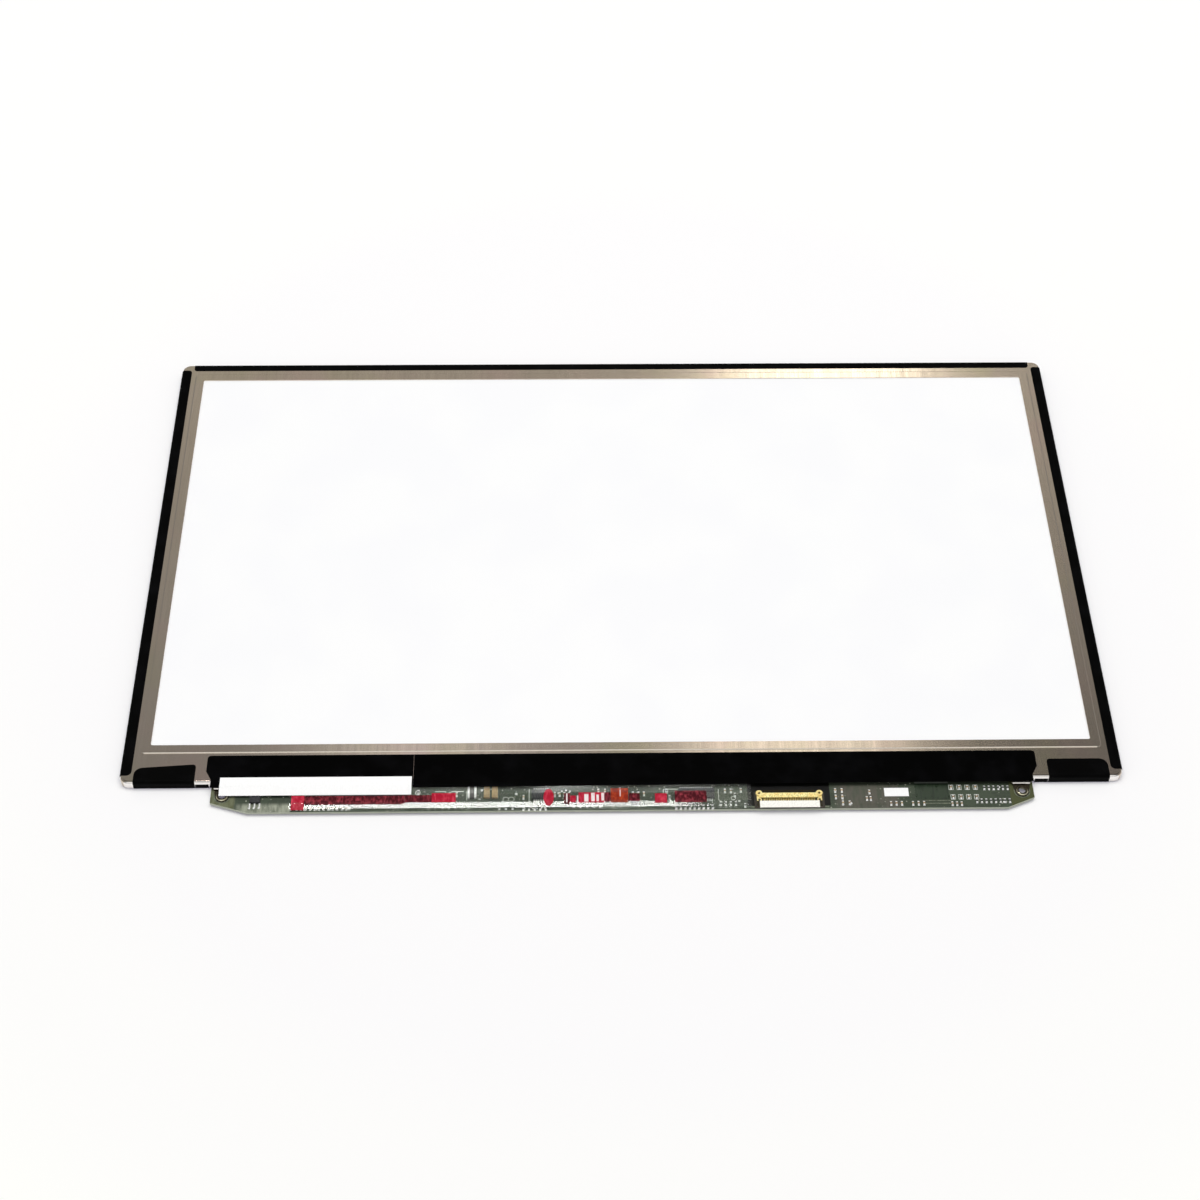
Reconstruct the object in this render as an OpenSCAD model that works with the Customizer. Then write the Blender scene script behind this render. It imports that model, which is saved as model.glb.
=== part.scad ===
// Laptop screen panel lying on its front face, with its rear cover up and its driver board towards -Y.
// Lengths are in millimetres. The origin is the middle of the footprint, on the front face.

/* [Screen] */
// Width of the picture area
active_w = 276.6; // [240:0.1:330]
// Height of the picture area
active_h = 155.5; // [135:0.1:190]
// Thickness of each polarizer
polarizer_t = 0.2; // [0.1:0.05:0.3]
// Thickness of each sheet of glass
glass_t = 0.4; // [0.3:0.05:0.7]
// Strip of the rear glass left bare for the driver films
ledge = 4.0; // [3:0.1:5]
// Inset of the polarizers from the edge of the glass
polarizer_inset = 1.7; // [1:0.1:2.4]

/* [Backlight] */
// Thickness of one prism or diffuser sheet
sheet_t = 0.12; // [0.08:0.01:0.2]
// Thickness of the light guide
guide_t = 0.65; // [0.5:0.05:1.2]
// Thickness of the white reflector behind the light guide
reflector_t = 0.15; // [0.1:0.01:0.25]
// Number of light-emitting diodes along the lower edge
led_count = 36; // [12:1:44]
// Length of one diode
led_l = 3.0; // [1.5:0.1:3.8]
// Depth of one diode, from its window to its back
led_d = 0.8; // [0.5:0.05:1.2]
// Height of one diode
led_h = 0.5; // [0.3:0.05:0.6]
// Depth of the flexible board that carries the diodes
led_strip_d = 4.6; // [3:0.1:4.8]
// Width of the tail that feeds the diodes
led_tail_w = 9.8; // [5:0.1:12]

/* [Guide frame] */
// Wall of the plastic frame beside the glass
frame_wall = 1.6; // [1:0.1:2.4]
// Wall of the plastic frame at the board side
frame_front_wall = 2.6; // [2:0.1:3.2]
// Thickness of the shelf between the glass and the sheets
shelf_t = 0.34; // [0.25:0.01:0.6]
// Gap from the picture area to the edge of the shelf
shelf_gap = 0.7; // [0.3:0.05:0.9]
// Thickness of the black tape between the glass and the shelf
rim_tape_t = 0.06; // [0.04:0.01:0.1]

/* [Rear cover] */
// Thickness of the steel
steel_t = 0.3; // [0.2:0.05:0.4]
// Steel beside the window, at each side
side_border = 7.75; // [7:0.05:12]
// Steel above the window
top_border = 7.7; // [7:0.05:12]
// Steel below the window, at the board side
front_border = 13.2; // [12:0.1:18]
// Inset of the window from the picture area, at each side
window_inset_x = 1.05; // [0.5:0.05:1.5]
// Inset of the window from the picture area, above and below
window_inset_y = 1.65; // [0.5:0.05:2]
// Corner radius of the window
window_r = 0.6; // [0.2:0.1:2]
// Width of the raised band round the window
ring_w = 3.0; // [2.7:0.1:3.4]
// Height of the raised band over the flange
ring_step = 0.25; // [0.1:0.05:0.4]
// Run of the slope between the band and the flange
riser_run = 0.4; // [0.3:0.05:0.6]
// Corner radius of the raised band
ring_r = 1.0; // [0.5:0.1:2]
// Corner radius of the cover, seen from the rear
corner_r = 2.8; // [1.8:0.1:5]
// Outer radius of the bend between flange and walls
bend_r = 0.8; // [0.5:0.05:1.2]
// Height of the edge of the walls over the front face
wall_z = 0.3; // [0.2:0.05:0.5]

/* [Mounting lugs] */
// Width of a lug
lug_w = 5.3; // [4:0.1:8]
// Distance from the side of the cover to the screw hole
lug_inset = 30; // [20:0.5:36]
// Distance from the lower wall to the step of the lug
lug_step = 1.4; // [1.2:0.05:2]
// Distance from the lower wall to the screw hole
lug_reach = 4.1; // [3.6:0.1:5]
// Width of the round tip of a lug
lug_tip_d = 4.0; // [3.4:0.1:5]
// Gap between the board and a lug before its screw closes it
lug_gap = 0.05; // [0.03:0.01:0.1]
// Diameter of the screw hole
lug_hole_d = 2.0; // [1.6:0.1:2.6]

/* [Driver board] */
// Distance from the side of the cover to the end of the board
board_inset = 26.65; // [22:0.05:29]
// Gap between the lower wall and the board
board_gap = 0.6; // [0.3:0.05:1]
// Depth of the board
board_d = 9.1; // [8.9:0.1:14]
// Thickness of the board
board_t = 0.9; // [0.6:0.1:1]
// Run of the cut corner along the board, left end
cut_left = 10.8; // [4:0.1:14]
// Run of the cut corner along the board, right end
cut_right = 8.0; // [4:0.1:14]
// Depth of the cut corners
cut_d = 3.4; // [2:0.1:3.6]
// Number of driver films
film_count = 4; // [2:1:5]
// Width of one driver film
film_w = 32; // [20:0.5:40]
// Thickness of the films and of the diode strip
flex_t = 0.08; // [0.05:0.01:0.1]
// Length of a film that is bonded to the glass and to the board
bond_l = 2.0; // [1:0.1:2.6]
// Length of the driver chip on a film
driver_l = 18; // [10:0.5:19]
// Width of the driver chip on a film
driver_d = 1.5; // [1:0.1:2]
// Thickness of the driver chip on a film
driver_t = 0.3; // [0.2:0.05:0.4]

/* [Signal connector] */
// Place along the board, as a share of its length
connector_at = 0.7013; // [0.66:0.0001:0.74]
// Number of contacts
contact_count = 30; // [20:1:30]
// Distance between contacts
contact_pitch = 0.5; // [0.4:0.05:0.5]
// Width of a contact
contact_w = 0.2; // [0.1:0.02:0.26]
// Width of the connector
connector_w = 20.1; // [20:0.1:24]
// Depth of the connector
connector_d = 5.6; // [5.4:0.1:6.4]
// Height of the connector over the board
connector_h = 1.15; // [1:0.05:1.3]
// Reach of the connector past the edge of the board
connector_overhang = 0.15; // [0:0.05:0.4]

/* [Chips] */
// Length of the timing controller
timing_l = 10.4; // [7:0.1:12]
// Width of the timing controller
timing_d = 3.6; // [3:0.1:4.2]
// Length of the backlight driver
backlight_l = 5.4; // [3:0.1:7]
// Width of the backlight driver
backlight_d = 3.4; // [2.4:0.1:4.2]
// Height of the chips over the board
chip_h = 0.7; // [0.5:0.05:0.75]
// Width of a power capacitor
capacitor_w = 1.7; // [1.2:0.1:1.8]
// Depth of a power capacitor
capacitor_d = 3.9; // [2.4:0.1:4.2]
// Length of a chip capacitor or resistor
passive_l = 1.0; // [0.6:0.05:1.1]
// Width of a chip capacitor or resistor
passive_w = 0.5; // [0.3:0.05:0.6]
// Height of a chip capacitor or resistor
passive_h = 0.32; // [0.2:0.02:0.34]

/* [Tapes and labels] */
// Thickness of the black tapes
tape_t = 0.08; // [0.05:0.01:0.1]
// Width of the side tapes on the rear face
side_tape_w = 3.3; // [2.5:0.1:3.6]
// Width of the top tape on the rear face
top_tape_w = 3.0; // [2.5:0.1:3.6]
// Distance from the side of the cover to the wide tape over the board
wide_tape_inset = 24.8; // [22:0.1:27]
// Distance from the end of the wide tape to the seam in it
seam_at = 59.8; // [40:0.1:90]
// Reach past the lower wall of the tape piece under the rear label
flap_short = 1.85; // [1.7:0.05:2.6]
// Reach past the lower wall of the long tape piece, at its left end
flap_left = 2.15; // [1.7:0.05:2.6]
// Reach past the lower wall of the long tape piece, at its right end
flap_right = 1.6; // [1.5:0.05:2]
// Height of the corner patches on the rear face
patch_h = 6.3; // [4:0.1:7]
// Gap between a corner patch and the wide tape
patch_gap = 3.1; // [2:0.1:5]
// Gap between a corner patch and the bend of the corner
patch_end = 1.2; // [0.5:0.1:4]
// How much lower the left patch's outer end is
patch_slant = 1.0; // [0:0.1:1.5]
// Width of the rear label
label_w = 55.1; // [30:0.1:58]
// Height of the rear label
label_h = 6.0; // [4:0.1:6.2]
// Thickness of the labels
label_t = 0.1; // [0.06:0.01:0.15]
// How far past the lower wall the clear film falls before it runs level over the chips
clear_fall = 4.1; // [3:0.1:4.6]
// Thickness of the clear film over the board
clear_t = 0.08; // [0.05:0.01:0.1]
// Width of the label on the board
board_label_w = 7.0; // [4:0.1:7.4]
// Height of the label on the board
board_label_h = 2.9; // [2:0.1:3.4]

/* [Hidden] */
$fn = 48;
steel = "#8f8379";
black = "#101010";
gold = "#c9a24a";
tin = "#d0d0cc";
laminate = "#55644f";
fit = 0.1; // between the steel and the plastic frame, and round the sheets
glass_fit = 0.4; // round the glass
eps = 0.01;

// Outline of the cover and of its window; the depth is that of the whole panel
window_w = active_w - 2 * window_inset_x;
window_h = active_h - 2 * window_inset_y;
cover_w = window_w + 2 * side_border;
side_x = cover_w / 2;
depth = tape_t + top_border + window_h + front_border + board_gap + board_d + connector_overhang;
back_y = depth / 2 - tape_t;
window_back = back_y - top_border;
window_front = window_back - window_h;
window_y = (window_back + window_front) / 2;
front_y = window_front - front_border;

// Levels from the front face upwards
front_glass_z = polarizer_t;
rear_glass_z = front_glass_z + glass_t;
lower_polarizer_z = rear_glass_z + glass_t;
rim_z = lower_polarizer_z + polarizer_t;
shelf_z = rim_z + rim_tape_t;
sheets_z = shelf_z + shelf_t;
guide_z = sheets_z + 3 * sheet_t;
reflector_z = guide_z + guide_t;
ring_z = reflector_z + reflector_t;
cover_top = ring_z + steel_t;
flange_top = cover_top - ring_step;
flange_z = flange_top - steel_t;
board_z = rear_glass_z;
board_top = board_z + board_t;
tab_z = board_top + lug_gap;
tab_top = tab_z + steel_t;

// Plastic frame and what it holds
frame_x = side_x - steel_t - fit;
frame_back = back_y - steel_t - fit;
frame_front = front_y + steel_t + fit;
frame_r = corner_r - steel_t - fit;
glass_x = frame_x - frame_wall - glass_fit;
glass_back = frame_back - frame_wall - glass_fit;
rear_glass_front = frame_front + frame_front_wall + glass_fit;
front_glass_front = rear_glass_front + ledge;
polarizer_x = glass_x - polarizer_inset;
polarizer_back = glass_back - polarizer_inset;
polarizer_front = front_glass_front + polarizer_inset;
shelf_x = active_w / 2 + shelf_gap;
shelf_back = window_y + active_h / 2 + shelf_gap;
shelf_front = window_y - active_h / 2 - shelf_gap;

// Inside of the raised band, which holds the sheets
riser_shift = steel_t * tan(atan2(ring_step, riser_run) / 2);
pocket_in = ring_w - riser_run - riser_shift;
sheet_x = window_w / 2 + pocket_in - fit;
sheet_back = window_back + pocket_in - fit;
sheet_front = window_front - pocket_in + fit;
led_y = sheet_front - fit;
led_pitch = 2 * sheet_x / led_count;

// Board, measured from its front edge
board_w = cover_w - 2 * board_inset;
board_back = front_y - board_gap;
board_front = board_back - board_d;
lug_x = side_x - lug_inset;
lug_y = front_y - lug_reach;
board_hole_d = lug_hole_d + 0.6;
tail_at = 0.876; // place of the diode tail along the board
tail_end = 0.32; // place of its end across the board
film_wall_z = board_z + 0.3; // lower edge of the wall over the driver films
film_zone = board_w / 2 + 1.2;

// Tapes
wide_tape_x = side_x - wide_tape_inset;
wide_tape_back = window_front - ring_w - 0.8;
tape_top = flange_top + tape_t;
fold_y = front_y - lug_step - 0.1;
flap_drop = 0.18; // fall of the flap for each millimetre past the fold
seam_gap = 0.05;
patch_lap = 3.2; // reach of a corner patch on the front face
label_inset = 4.3; // from the end of the wide tape to the rear label
label_clear = 1.9; // from the board label to the diode tail

connector_x = along(connector_at);
connector_front = board_front - connector_overhang;

// Places on the board, as shares of its length and of its depth from the front edge
function along(share) = board_w * (share - 0.5);
function up_board(share) = board_front + board_d * share;
function flap_z(y) = flange_top - flap_drop * max(0, fold_y - y);

// Path of the clear film over the board, as [y, z] of its lower face
clear_path = [
    [front_y - 0.6, flange_top - clear_t],
    [fold_y, flange_top - clear_t],
    [front_y - clear_fall, flap_z(front_y - clear_fall) - clear_t],
    [up_board(0.276), board_top + chip_h + 0.08],
    [up_board(0.085), board_top + passive_h + 0.09],
    [up_board(0.02), board_top + passive_h + 0.03]
];

// Flat outline with round corners, width about X = 0 and from y0 to y1
module rounded(w, y0, y1, r) {
    translate([-w / 2 + r, y0]) square([w - 2 * r, y1 - y0]);
    translate([-w / 2, y0 + r]) square([w, y1 - y0 - 2 * r]);
    if (r > 0) for (x = [-w / 2 + r, w / 2 - r], y = [y0 + r, y1 - r])
        translate([x, y]) circle(r);
}

module slab(w, y0, y1, r, z, t) {
    translate([0, 0, z]) linear_extrude(t) rounded(w, y0, y1, r);
}

// Runs a section round a rectangle; the section's X is the distance from the corner centres
module swept(x, y0, y1, r) {
    for (side = [0, 1]) mirror([side, 0, 0])
        translate([x - r, y1 - r, 0]) rotate([90, 0, 0]) linear_extrude(y1 - y0 - 2 * r) children();
    translate([-x + r, y1 - r, 0]) rotate([90, 0, 90]) linear_extrude(2 * (x - r)) children();
    translate([x - r, y0 + r, 0]) rotate([90, 0, -90]) linear_extrude(2 * (x - r)) children();
    translate([x - r, y1 - r, 0]) rotate_extrude(angle = 90) children();
    translate([-x + r, y1 - r, 0]) rotate([0, 0, 90]) rotate_extrude(angle = 90) children();
    translate([-x + r, y0 + r, 0]) rotate([0, 0, 180]) rotate_extrude(angle = 90) children();
    translate([x - r, y0 + r, 0]) rotate([0, 0, 270]) rotate_extrude(angle = 90) children();
}

// Section drawn as [y, z], run along X from x0 to x1
module across(x0, x1) {
    translate([x0, 0, 0]) rotate([90, 0, 90]) linear_extrude(x1 - x0) children();
}

// Rectangle from the origin whose far upper corner is round
module bent(w, h, r) {
    square([w, h - r]);
    square([w - r, h]);
    translate([w - r, h - r]) circle(r);
}

// Strip of constant height along a path of [y, z] points
module ribbon(path, t) {
    polygon(concat(path, [for (i = [len(path) - 1:-1:0]) path[i] + [0, t]]));
}

module edge_section() {
    translate([0, wall_z]) difference() {
        bent(corner_r, flange_top - wall_z, bend_r);
        translate([-eps, -eps])
            bent(corner_r - steel_t + eps, flange_z - wall_z + eps, bend_r - steel_t);
    }
}

module ring_section() {
    run = ring_r + riser_run;
    polygon([
        [0, ring_z], [ring_r - riser_shift, ring_z], [run - riser_shift, flange_z],
        [run, flange_z], [run, flange_top], [ring_r, cover_top], [0, cover_top]
    ]);
}

// Lug: flange level, step down and tab on the board, as [distance from the wall, z]
module lug_section() {
    middle = (flange_top + tab_z) / 2;
    r = min(0.5, flange_top - middle);
    inner = max(r - steel_t, 0.05);
    start = -bend_r - 0.2;
    translate([start, middle]) difference() {
        bent(lug_step - start, flange_top - middle, r);
        translate([-eps, -eps])
            bent(lug_step - start - steel_t + eps, flange_z - middle + eps, inner);
    }
    reach = lug_reach - lug_step + steel_t;
    translate([lug_reach, middle]) rotate(180) difference() {
        bent(reach, middle - tab_z, r);
        translate([-eps, -eps])
            bent(reach - steel_t + eps, middle - tab_top + eps, inner);
    }
}

module lug() {
    half = lug_w / 2;
    intersection() {
        translate([half, front_y, 0]) rotate([90, 0, -90]) linear_extrude(lug_w) lug_section();
        linear_extrude(cover_top) polygon([
            [half, front_y + 2], [-half, front_y + 2], [-half, front_y - lug_step],
            [-lug_tip_d / 2, lug_y], [lug_tip_d / 2, lug_y], [half, front_y - lug_step]
        ]);
    }
    translate([0, lug_y, tab_z]) cylinder(d = lug_tip_d, h = steel_t);
}

// Gap in the lower wall where a lug or the diode tail comes out
module wall_slot(w) {
    translate([-w / 2, front_y - 1, 0]) cube([w, 1 + bend_r + 0.2, cover_top]);
}

module rear_cover() {
    crest = ring_w - riser_run;
    color(steel) difference() {
        union() {
            difference() {
                swept(side_x, front_y, back_y, corner_r) edge_section();
                translate([-film_zone, front_y - 1, 0])
                    cube([2 * film_zone, 2, film_wall_z]);
                for (x = [-lug_x, lug_x]) translate([x, 0, 0]) wall_slot(lug_w + 1);
                translate([along(tail_at), 0, 0]) wall_slot(led_tail_w + 1);
            }
            difference() {
                slab(2 * (side_x - corner_r), front_y + corner_r, back_y - corner_r, 0,
                    flange_z, steel_t);
                slab(window_w + 2 * ring_w, window_front - ring_w, window_back + ring_w,
                    ring_r + riser_run, flange_z - 1, 2 + steel_t);
            }
            swept(window_w / 2 + crest, window_front - crest, window_back + crest, ring_r)
                ring_section();
            slab(window_w + 2 * (crest - ring_r), window_front - crest + ring_r,
                window_back + crest - ring_r, 0, ring_z, steel_t);
            for (x = [-lug_x, lug_x]) translate([x, 0, 0]) lug();
        }
        slab(window_w, window_front, window_back, window_r, flange_z - 1, 3);
        for (x = [-lug_x, lug_x])
            translate([x, lug_y, board_top - 1]) cylinder(d = lug_hole_d, h = 2 + steel_t);
    }
}

module guide_frame() {
    rebate = bend_r - steel_t;
    pocket_front = led_y - led_strip_d - fit;
    film_gap_z = board_z + 0.15;
    color("#e8e8e4") difference() {
        union() {
            slab(2 * frame_x, frame_front, frame_back, frame_r, front_glass_z,
                flange_z - rebate - front_glass_z);
            slab(2 * (frame_x - rebate), frame_front + rebate, frame_back - rebate,
                max(frame_r - rebate, 0.1), front_glass_z, flange_z - front_glass_z);
        }
        slab(2 * (glass_x + glass_fit), rear_glass_front - glass_fit, glass_back + glass_fit,
            0, -1, 1 + shelf_z);
        slab(2 * shelf_x, shelf_front, shelf_back, 0, 0, 5);
        slab(2 * (sheet_x + fit), pocket_front, sheet_back + fit, 0, sheets_z, 5);
        translate([-film_zone, frame_front - 1, 0])
            cube([2 * film_zone, frame_front_wall + 2, film_gap_z]);
        translate([along(tail_at) - led_tail_w / 2 - 0.5, frame_front - 1, flange_z - 0.3])
            cube([led_tail_w + 1, pocket_front - frame_front + 2, 1]);
    }
}

module reflector_sheet() {
    color("white") slab(2 * sheet_x, sheet_front, sheet_back, ring_r - 0.2, reflector_z, reflector_t);
}

module light_guide() {
    color("#dfe8ea", 0.6) slab(2 * sheet_x, sheet_front, sheet_back, 0, guide_z, guide_t);
}

module diffuser_sheet() {
    color("#f2f2f0") slab(2 * sheet_x, sheet_front, sheet_back, 0, sheets_z + 2 * sheet_t, sheet_t);
}

module lower_prism_sheet() {
    color("#d8dde0") slab(2 * sheet_x, sheet_front, sheet_back, 0, sheets_z + sheet_t, sheet_t);
}

module upper_prism_sheet() {
    color("#ccd4d8") slab(2 * sheet_x, sheet_front, sheet_back, 0, sheets_z, sheet_t);
}

// Flexible board under the flange, with its tail out through the lower wall on to the driver board
module led_strip() {
    strip_z = flange_z - flex_t;
    tail_x = along(tail_at);
    color("#2f4632") {
        slab(2 * sheet_x, led_y - led_strip_d, led_y, 0, strip_z, flex_t);
        across(tail_x - led_tail_w / 2, tail_x + led_tail_w / 2)
            ribbon([
                [led_y - led_strip_d + 0.5, strip_z], [front_y - 0.1, strip_z],
                [front_y - 1.3, board_top], [up_board(tail_end), board_top]
            ], flex_t);
    }
}

module led_packages() {
    color("#f4efc8") for (i = [0:led_count - 1])
        translate([(i - (led_count - 1) / 2) * led_pitch - led_l / 2, led_y - led_d,
            flange_z - flex_t - led_h]) cube([led_l, led_d, led_h]);
}

module rim_tape() {
    color(black) difference() {
        slab(2 * (glass_x - fit), front_glass_front, glass_back - fit, 0, rim_z, rim_tape_t);
        slab(2 * shelf_x, shelf_front, shelf_back, 0, rim_z - 1, 2);
    }
}

module polarizer(z) {
    slab(2 * polarizer_x, polarizer_front, polarizer_back, 0, z, polarizer_t);
}

module upper_polarizer() {
    color("#1b1d20") polarizer(0);
}

module lower_polarizer() {
    color("#2b2d30") polarizer(lower_polarizer_z);
}

module front_glass() {
    color("#30383c") slab(2 * glass_x, front_glass_front, glass_back, 0, front_glass_z, glass_t);
}

module rear_glass() {
    color("#3a4448") slab(2 * glass_x, rear_glass_front, glass_back, 0, rear_glass_z, glass_t);
}

// Copies its children at each driver film
module at_films() {
    for (i = [0:film_count - 1])
        translate([along((i + 0.5) / film_count), 0, 0]) children();
}

module driver_films() {
    color("#8a6a2a") at_films()
        slab(film_w, board_back - bond_l, rear_glass_front + bond_l, 0, board_z - flex_t, flex_t);
}

module driver_chips() {
    middle = (board_back + rear_glass_front) / 2;
    color("#303236") at_films()
        translate([-driver_l / 2, middle - driver_d / 2, board_z - flex_t - driver_t])
            cube([driver_l, driver_d, driver_t]);
}

module driver_board() {
    half = board_w / 2;
    color(laminate) translate([0, 0, board_z]) difference() {
        linear_extrude(board_t) polygon([
            [-half, board_back], [-half, board_front + cut_d], [-half + cut_left, board_front],
            [half - cut_right, board_front], [half, board_front + cut_d], [half, board_back]
        ]);
        for (x = [-lug_x, lug_x])
            translate([x, lug_y, -1]) cylinder(d = board_hole_d, h = 2 + board_t);
    }
}

// Connector, drawn with its front edge on Y = 0 and the board on Z = 0
mouth_w = contact_count * contact_pitch + 1.9;
floor_h = 0.35;
rail_z = 0.5;
post_y = connector_d - 0.75;

module at_connector() {
    translate([connector_x, connector_front, board_top]) children();
}

module connector_housing() {
    color("#2a2622") at_connector() {
        translate([-connector_w / 2 + 1, 0.2, 0]) cube([connector_w - 2, connector_d - 0.7, floor_h]);
        for (side = [0, 1]) mirror([side, 0, 0])
            translate([mouth_w / 2 - 0.2, 0.2, 0])
                cube([connector_w / 2 - mouth_w / 2 + 0.2, connector_d - 0.2, rail_z]);
    }
}

module connector_shell() {
    plate_z = connector_h - 0.3;
    post_x = mouth_w / 2 + 0.2;
    bar_z = rail_z + 0.05;
    color(gold) at_connector() difference() {
        union() {
            for (side = [0, 1]) mirror([side, 0, 0]) {
                translate([mouth_w / 2 - 0.2, 0.2, rail_z])
                    cube([1.1, connector_d - 0.4, plate_z - rail_z]);
                translate([post_x, post_y, rail_z]) cylinder(r = 0.95, h = connector_h - rail_z);
                translate([post_x, post_y - 2.2, rail_z])
                    cylinder(r = 0.7, h = plate_z + 0.15 - rail_z);
            }
            translate([-mouth_w / 2 - 0.1, 0, plate_z]) cube([mouth_w + 0.2, 2.25, 0.15]);
            across(-post_x, post_x) translate([post_y - 1.45, bar_z]) {
                translate([0.25, 0]) square([1.2, connector_h - 0.05 - bar_z]);
                translate([0, 0]) square([1.7, connector_h - 0.3 - bar_z]);
                for (y = [0.25, 1.45]) translate([y, connector_h - 0.3 - bar_z]) circle(0.25);
            }
        }
        for (side = [0, 1]) mirror([side, 0, 0])
            for (y = [post_y, post_y - 2.2])
                translate([post_x, y, 0]) cylinder(r = 0.38, h = 3);
    }
}

module connector_contacts() {
    color("#b98a4a") at_connector()
        for (i = [0:contact_count - 1])
            translate([(i - (contact_count - 1) / 2) * contact_pitch, 0, 0])
                across(-contact_w / 2, contact_w / 2) ribbon([
                    [0.6, floor_h], [connector_d - 0.4, floor_h],
                    [connector_d - 0.1, 0], [connector_d + 1.0, 0]
                ], 0.1);
}

// Chip package whose upper edge is stepped in, standing clear of the board on its leads
module package(l, d) {
    clear = 0.08;
    step = 0.15;
    translate([-l / 2, -d / 2, clear]) cube([l, d, chip_h - clear - step]);
    translate([-l / 2 + step, -d / 2 + step, clear]) cube([l - 2 * step, d - 2 * step, chip_h - clear]);
}

// Rows of bent leads along both long sides of a package
module leads(d, count, pitch, w, reach) {
    t = 0.08;
    for (side = [0, 1]) mirror([0, side, 0])
        for (i = [0:count - 1])
            translate([(i - (count - 1) / 2) * pitch, d / 2, 0])
                across(-w / 2, w / 2)
                    ribbon([[0, chip_h / 3], [0.15, chip_h / 3], [0.3, 0], [reach, 0]], t);
}

timing_at = [along(0.5887), up_board(0.58), board_top];
backlight_at = [along(0.4003), up_board(0.58), board_top];
memory_at = [along(0.0545), up_board(0.455), board_top];
memory_l = 3.0;
memory_d = 2.4;
lead_pitch = 0.65;

module timing_controller() {
    color("#1a1b1d") translate(timing_at) package(timing_l, timing_d);
}

module timing_controller_leads() {
    color(tin) translate(timing_at)
        leads(timing_d, floor((timing_l - 0.4) / lead_pitch), lead_pitch, 0.25, 0.7);
}

module backlight_driver() {
    color("#1a1b1d") translate(backlight_at) package(backlight_l, backlight_d);
}

module backlight_driver_leads() {
    color(tin) translate(backlight_at)
        leads(backlight_d, floor((backlight_l - 0.4) / lead_pitch), lead_pitch, 0.3, 0.7);
}

module memory_chip() {
    color("#1a1b1d") translate(memory_at) package(memory_l, memory_d);
}

module memory_chip_leads() {
    color(tin) translate(memory_at) leads(memory_d, 3, 1.4, 0.45, 1.4);
}

tall_y = up_board(0.455); // front of the parts that hold the clear film up

// Two tall capacitors in a row
module power_capacitors() {
    color("#8d7d4c") for (i = [0, 1])
        translate([along(0.331) + i * (capacitor_w + 0.6), tall_y, board_top])
            cube([capacitor_w, capacitor_d, chip_h]);
}

// Choke between two long solder strips
choke_x = along(0.3167);
choke_w = 1.3;
choke_d = 3.9;
strip_w = 0.6;

module choke() {
    color("#3b3a37") translate([choke_x - choke_w / 2, tall_y, board_top])
        cube([choke_w, choke_d, chip_h]);
}

// Rows of chip parts: [place along the board, place across it, number, pitch]
row_pitch = 1.9;
fine_pitch = 1.35;
capacitor_rows = [
    [0.7581, 0.68, 2, row_pitch], [0.7581, 0.43, 2, row_pitch], [0.7662, 0.20, 2, row_pitch],
    [0.7995, 0.615, 1, 0], [0.7957, 0.36, 2, 1.1],
    [0.8245, 0.165, 3, 1.55], [0.8511, 0.165, 3, 1.6],
    [0.6238, 0.69, 2, 1.7], [0.6432, 0.71, 1, 0], [0.5118, 0.60, 3, 1.6],
    [0.4172, 0.60, 4, fine_pitch], [0.3792, 0.50, 1, 0],
    [0.1054, 0.135, 12, 1.3], [0.290, 0.62, 2, row_pitch], [0.470, 0.72, 3, row_pitch]
];
resistor_rows = [
    [0.5638, 0.08, 9, 1.3], [0.6356, 0.53, 1, 0], [0.6179, 0.20, 4, 1.45], [0.6474, 0.13, 1, 0],
    [0.5528, 0.70, 1, 0], [0.5562, 0.45, 1, 0], [0.4962, 0.76, 1, 0], [0.4962, 0.42, 1, 0],
    [0.3792, 0.08, 5, 1.6], [0.2516, 0.72, 1, 0],
    [0.265, 0.18, 7, row_pitch], [0.350, 0.12, 3, row_pitch], [0.440, 0.18, 5, row_pitch]
];
// Rows beside the right lug: [distance from its hole, place across the board, number, pitch]
lug_capacitor_rows = [[20.4, 0.77, 4, 2.35], [20.1, 0.40, 4, 2.25], [20.6, 0.14, 3, fine_pitch]];
lug_resistor_rows = [[10.8, 0.74, 6, fine_pitch], [13.4, 0.24, 8, fine_pitch]];

function on_board(rows) =
    [for (r = rows, i = [0:r[2] - 1]) [along(r[0]) + i * r[3], up_board(r[1])]];
function by_lug(rows) =
    [for (r = rows, i = [0:r[2] - 1]) [lug_x - r[0] + i * r[3], up_board(r[1])]];

capacitor_places = concat(on_board(capacitor_rows), by_lug(lug_capacitor_rows));
resistor_places = concat(on_board(resistor_rows), by_lug(lug_resistor_rows));
terminal_l = passive_l * 0.22;

// A chip part stands across the board; its terminals are its two ends
module passive_bodies(places) {
    body = passive_l - 2 * terminal_l;
    for (p = places)
        translate([p[0] - passive_w / 2, p[1] - body / 2, board_top])
            cube([passive_w, body, passive_h]);
}

module chip_capacitors() {
    color("#a58e68") passive_bodies(capacitor_places);
}

module chip_resistors() {
    color("#1d1e20") passive_bodies(resistor_places);
}

module chip_terminals() {
    end_y = (passive_l - terminal_l) / 2;
    color(tin) {
        for (p = concat(capacitor_places, resistor_places), end = [-end_y, end_y])
            translate([p[0] - passive_w / 2, p[1] + end - terminal_l / 2, board_top])
                cube([passive_w, terminal_l, passive_h]);
        for (side = [-1, 1])
            translate([choke_x + side * (choke_w + strip_w) / 2 - strip_w / 2, tall_y, board_top])
                cube([strip_w, choke_d, chip_h]);
    }
}

module clear_film() {
    color("#c8d0c8", 0.4) across(along(0.096), along(0.655)) ribbon(clear_path, clear_t);
}

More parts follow.
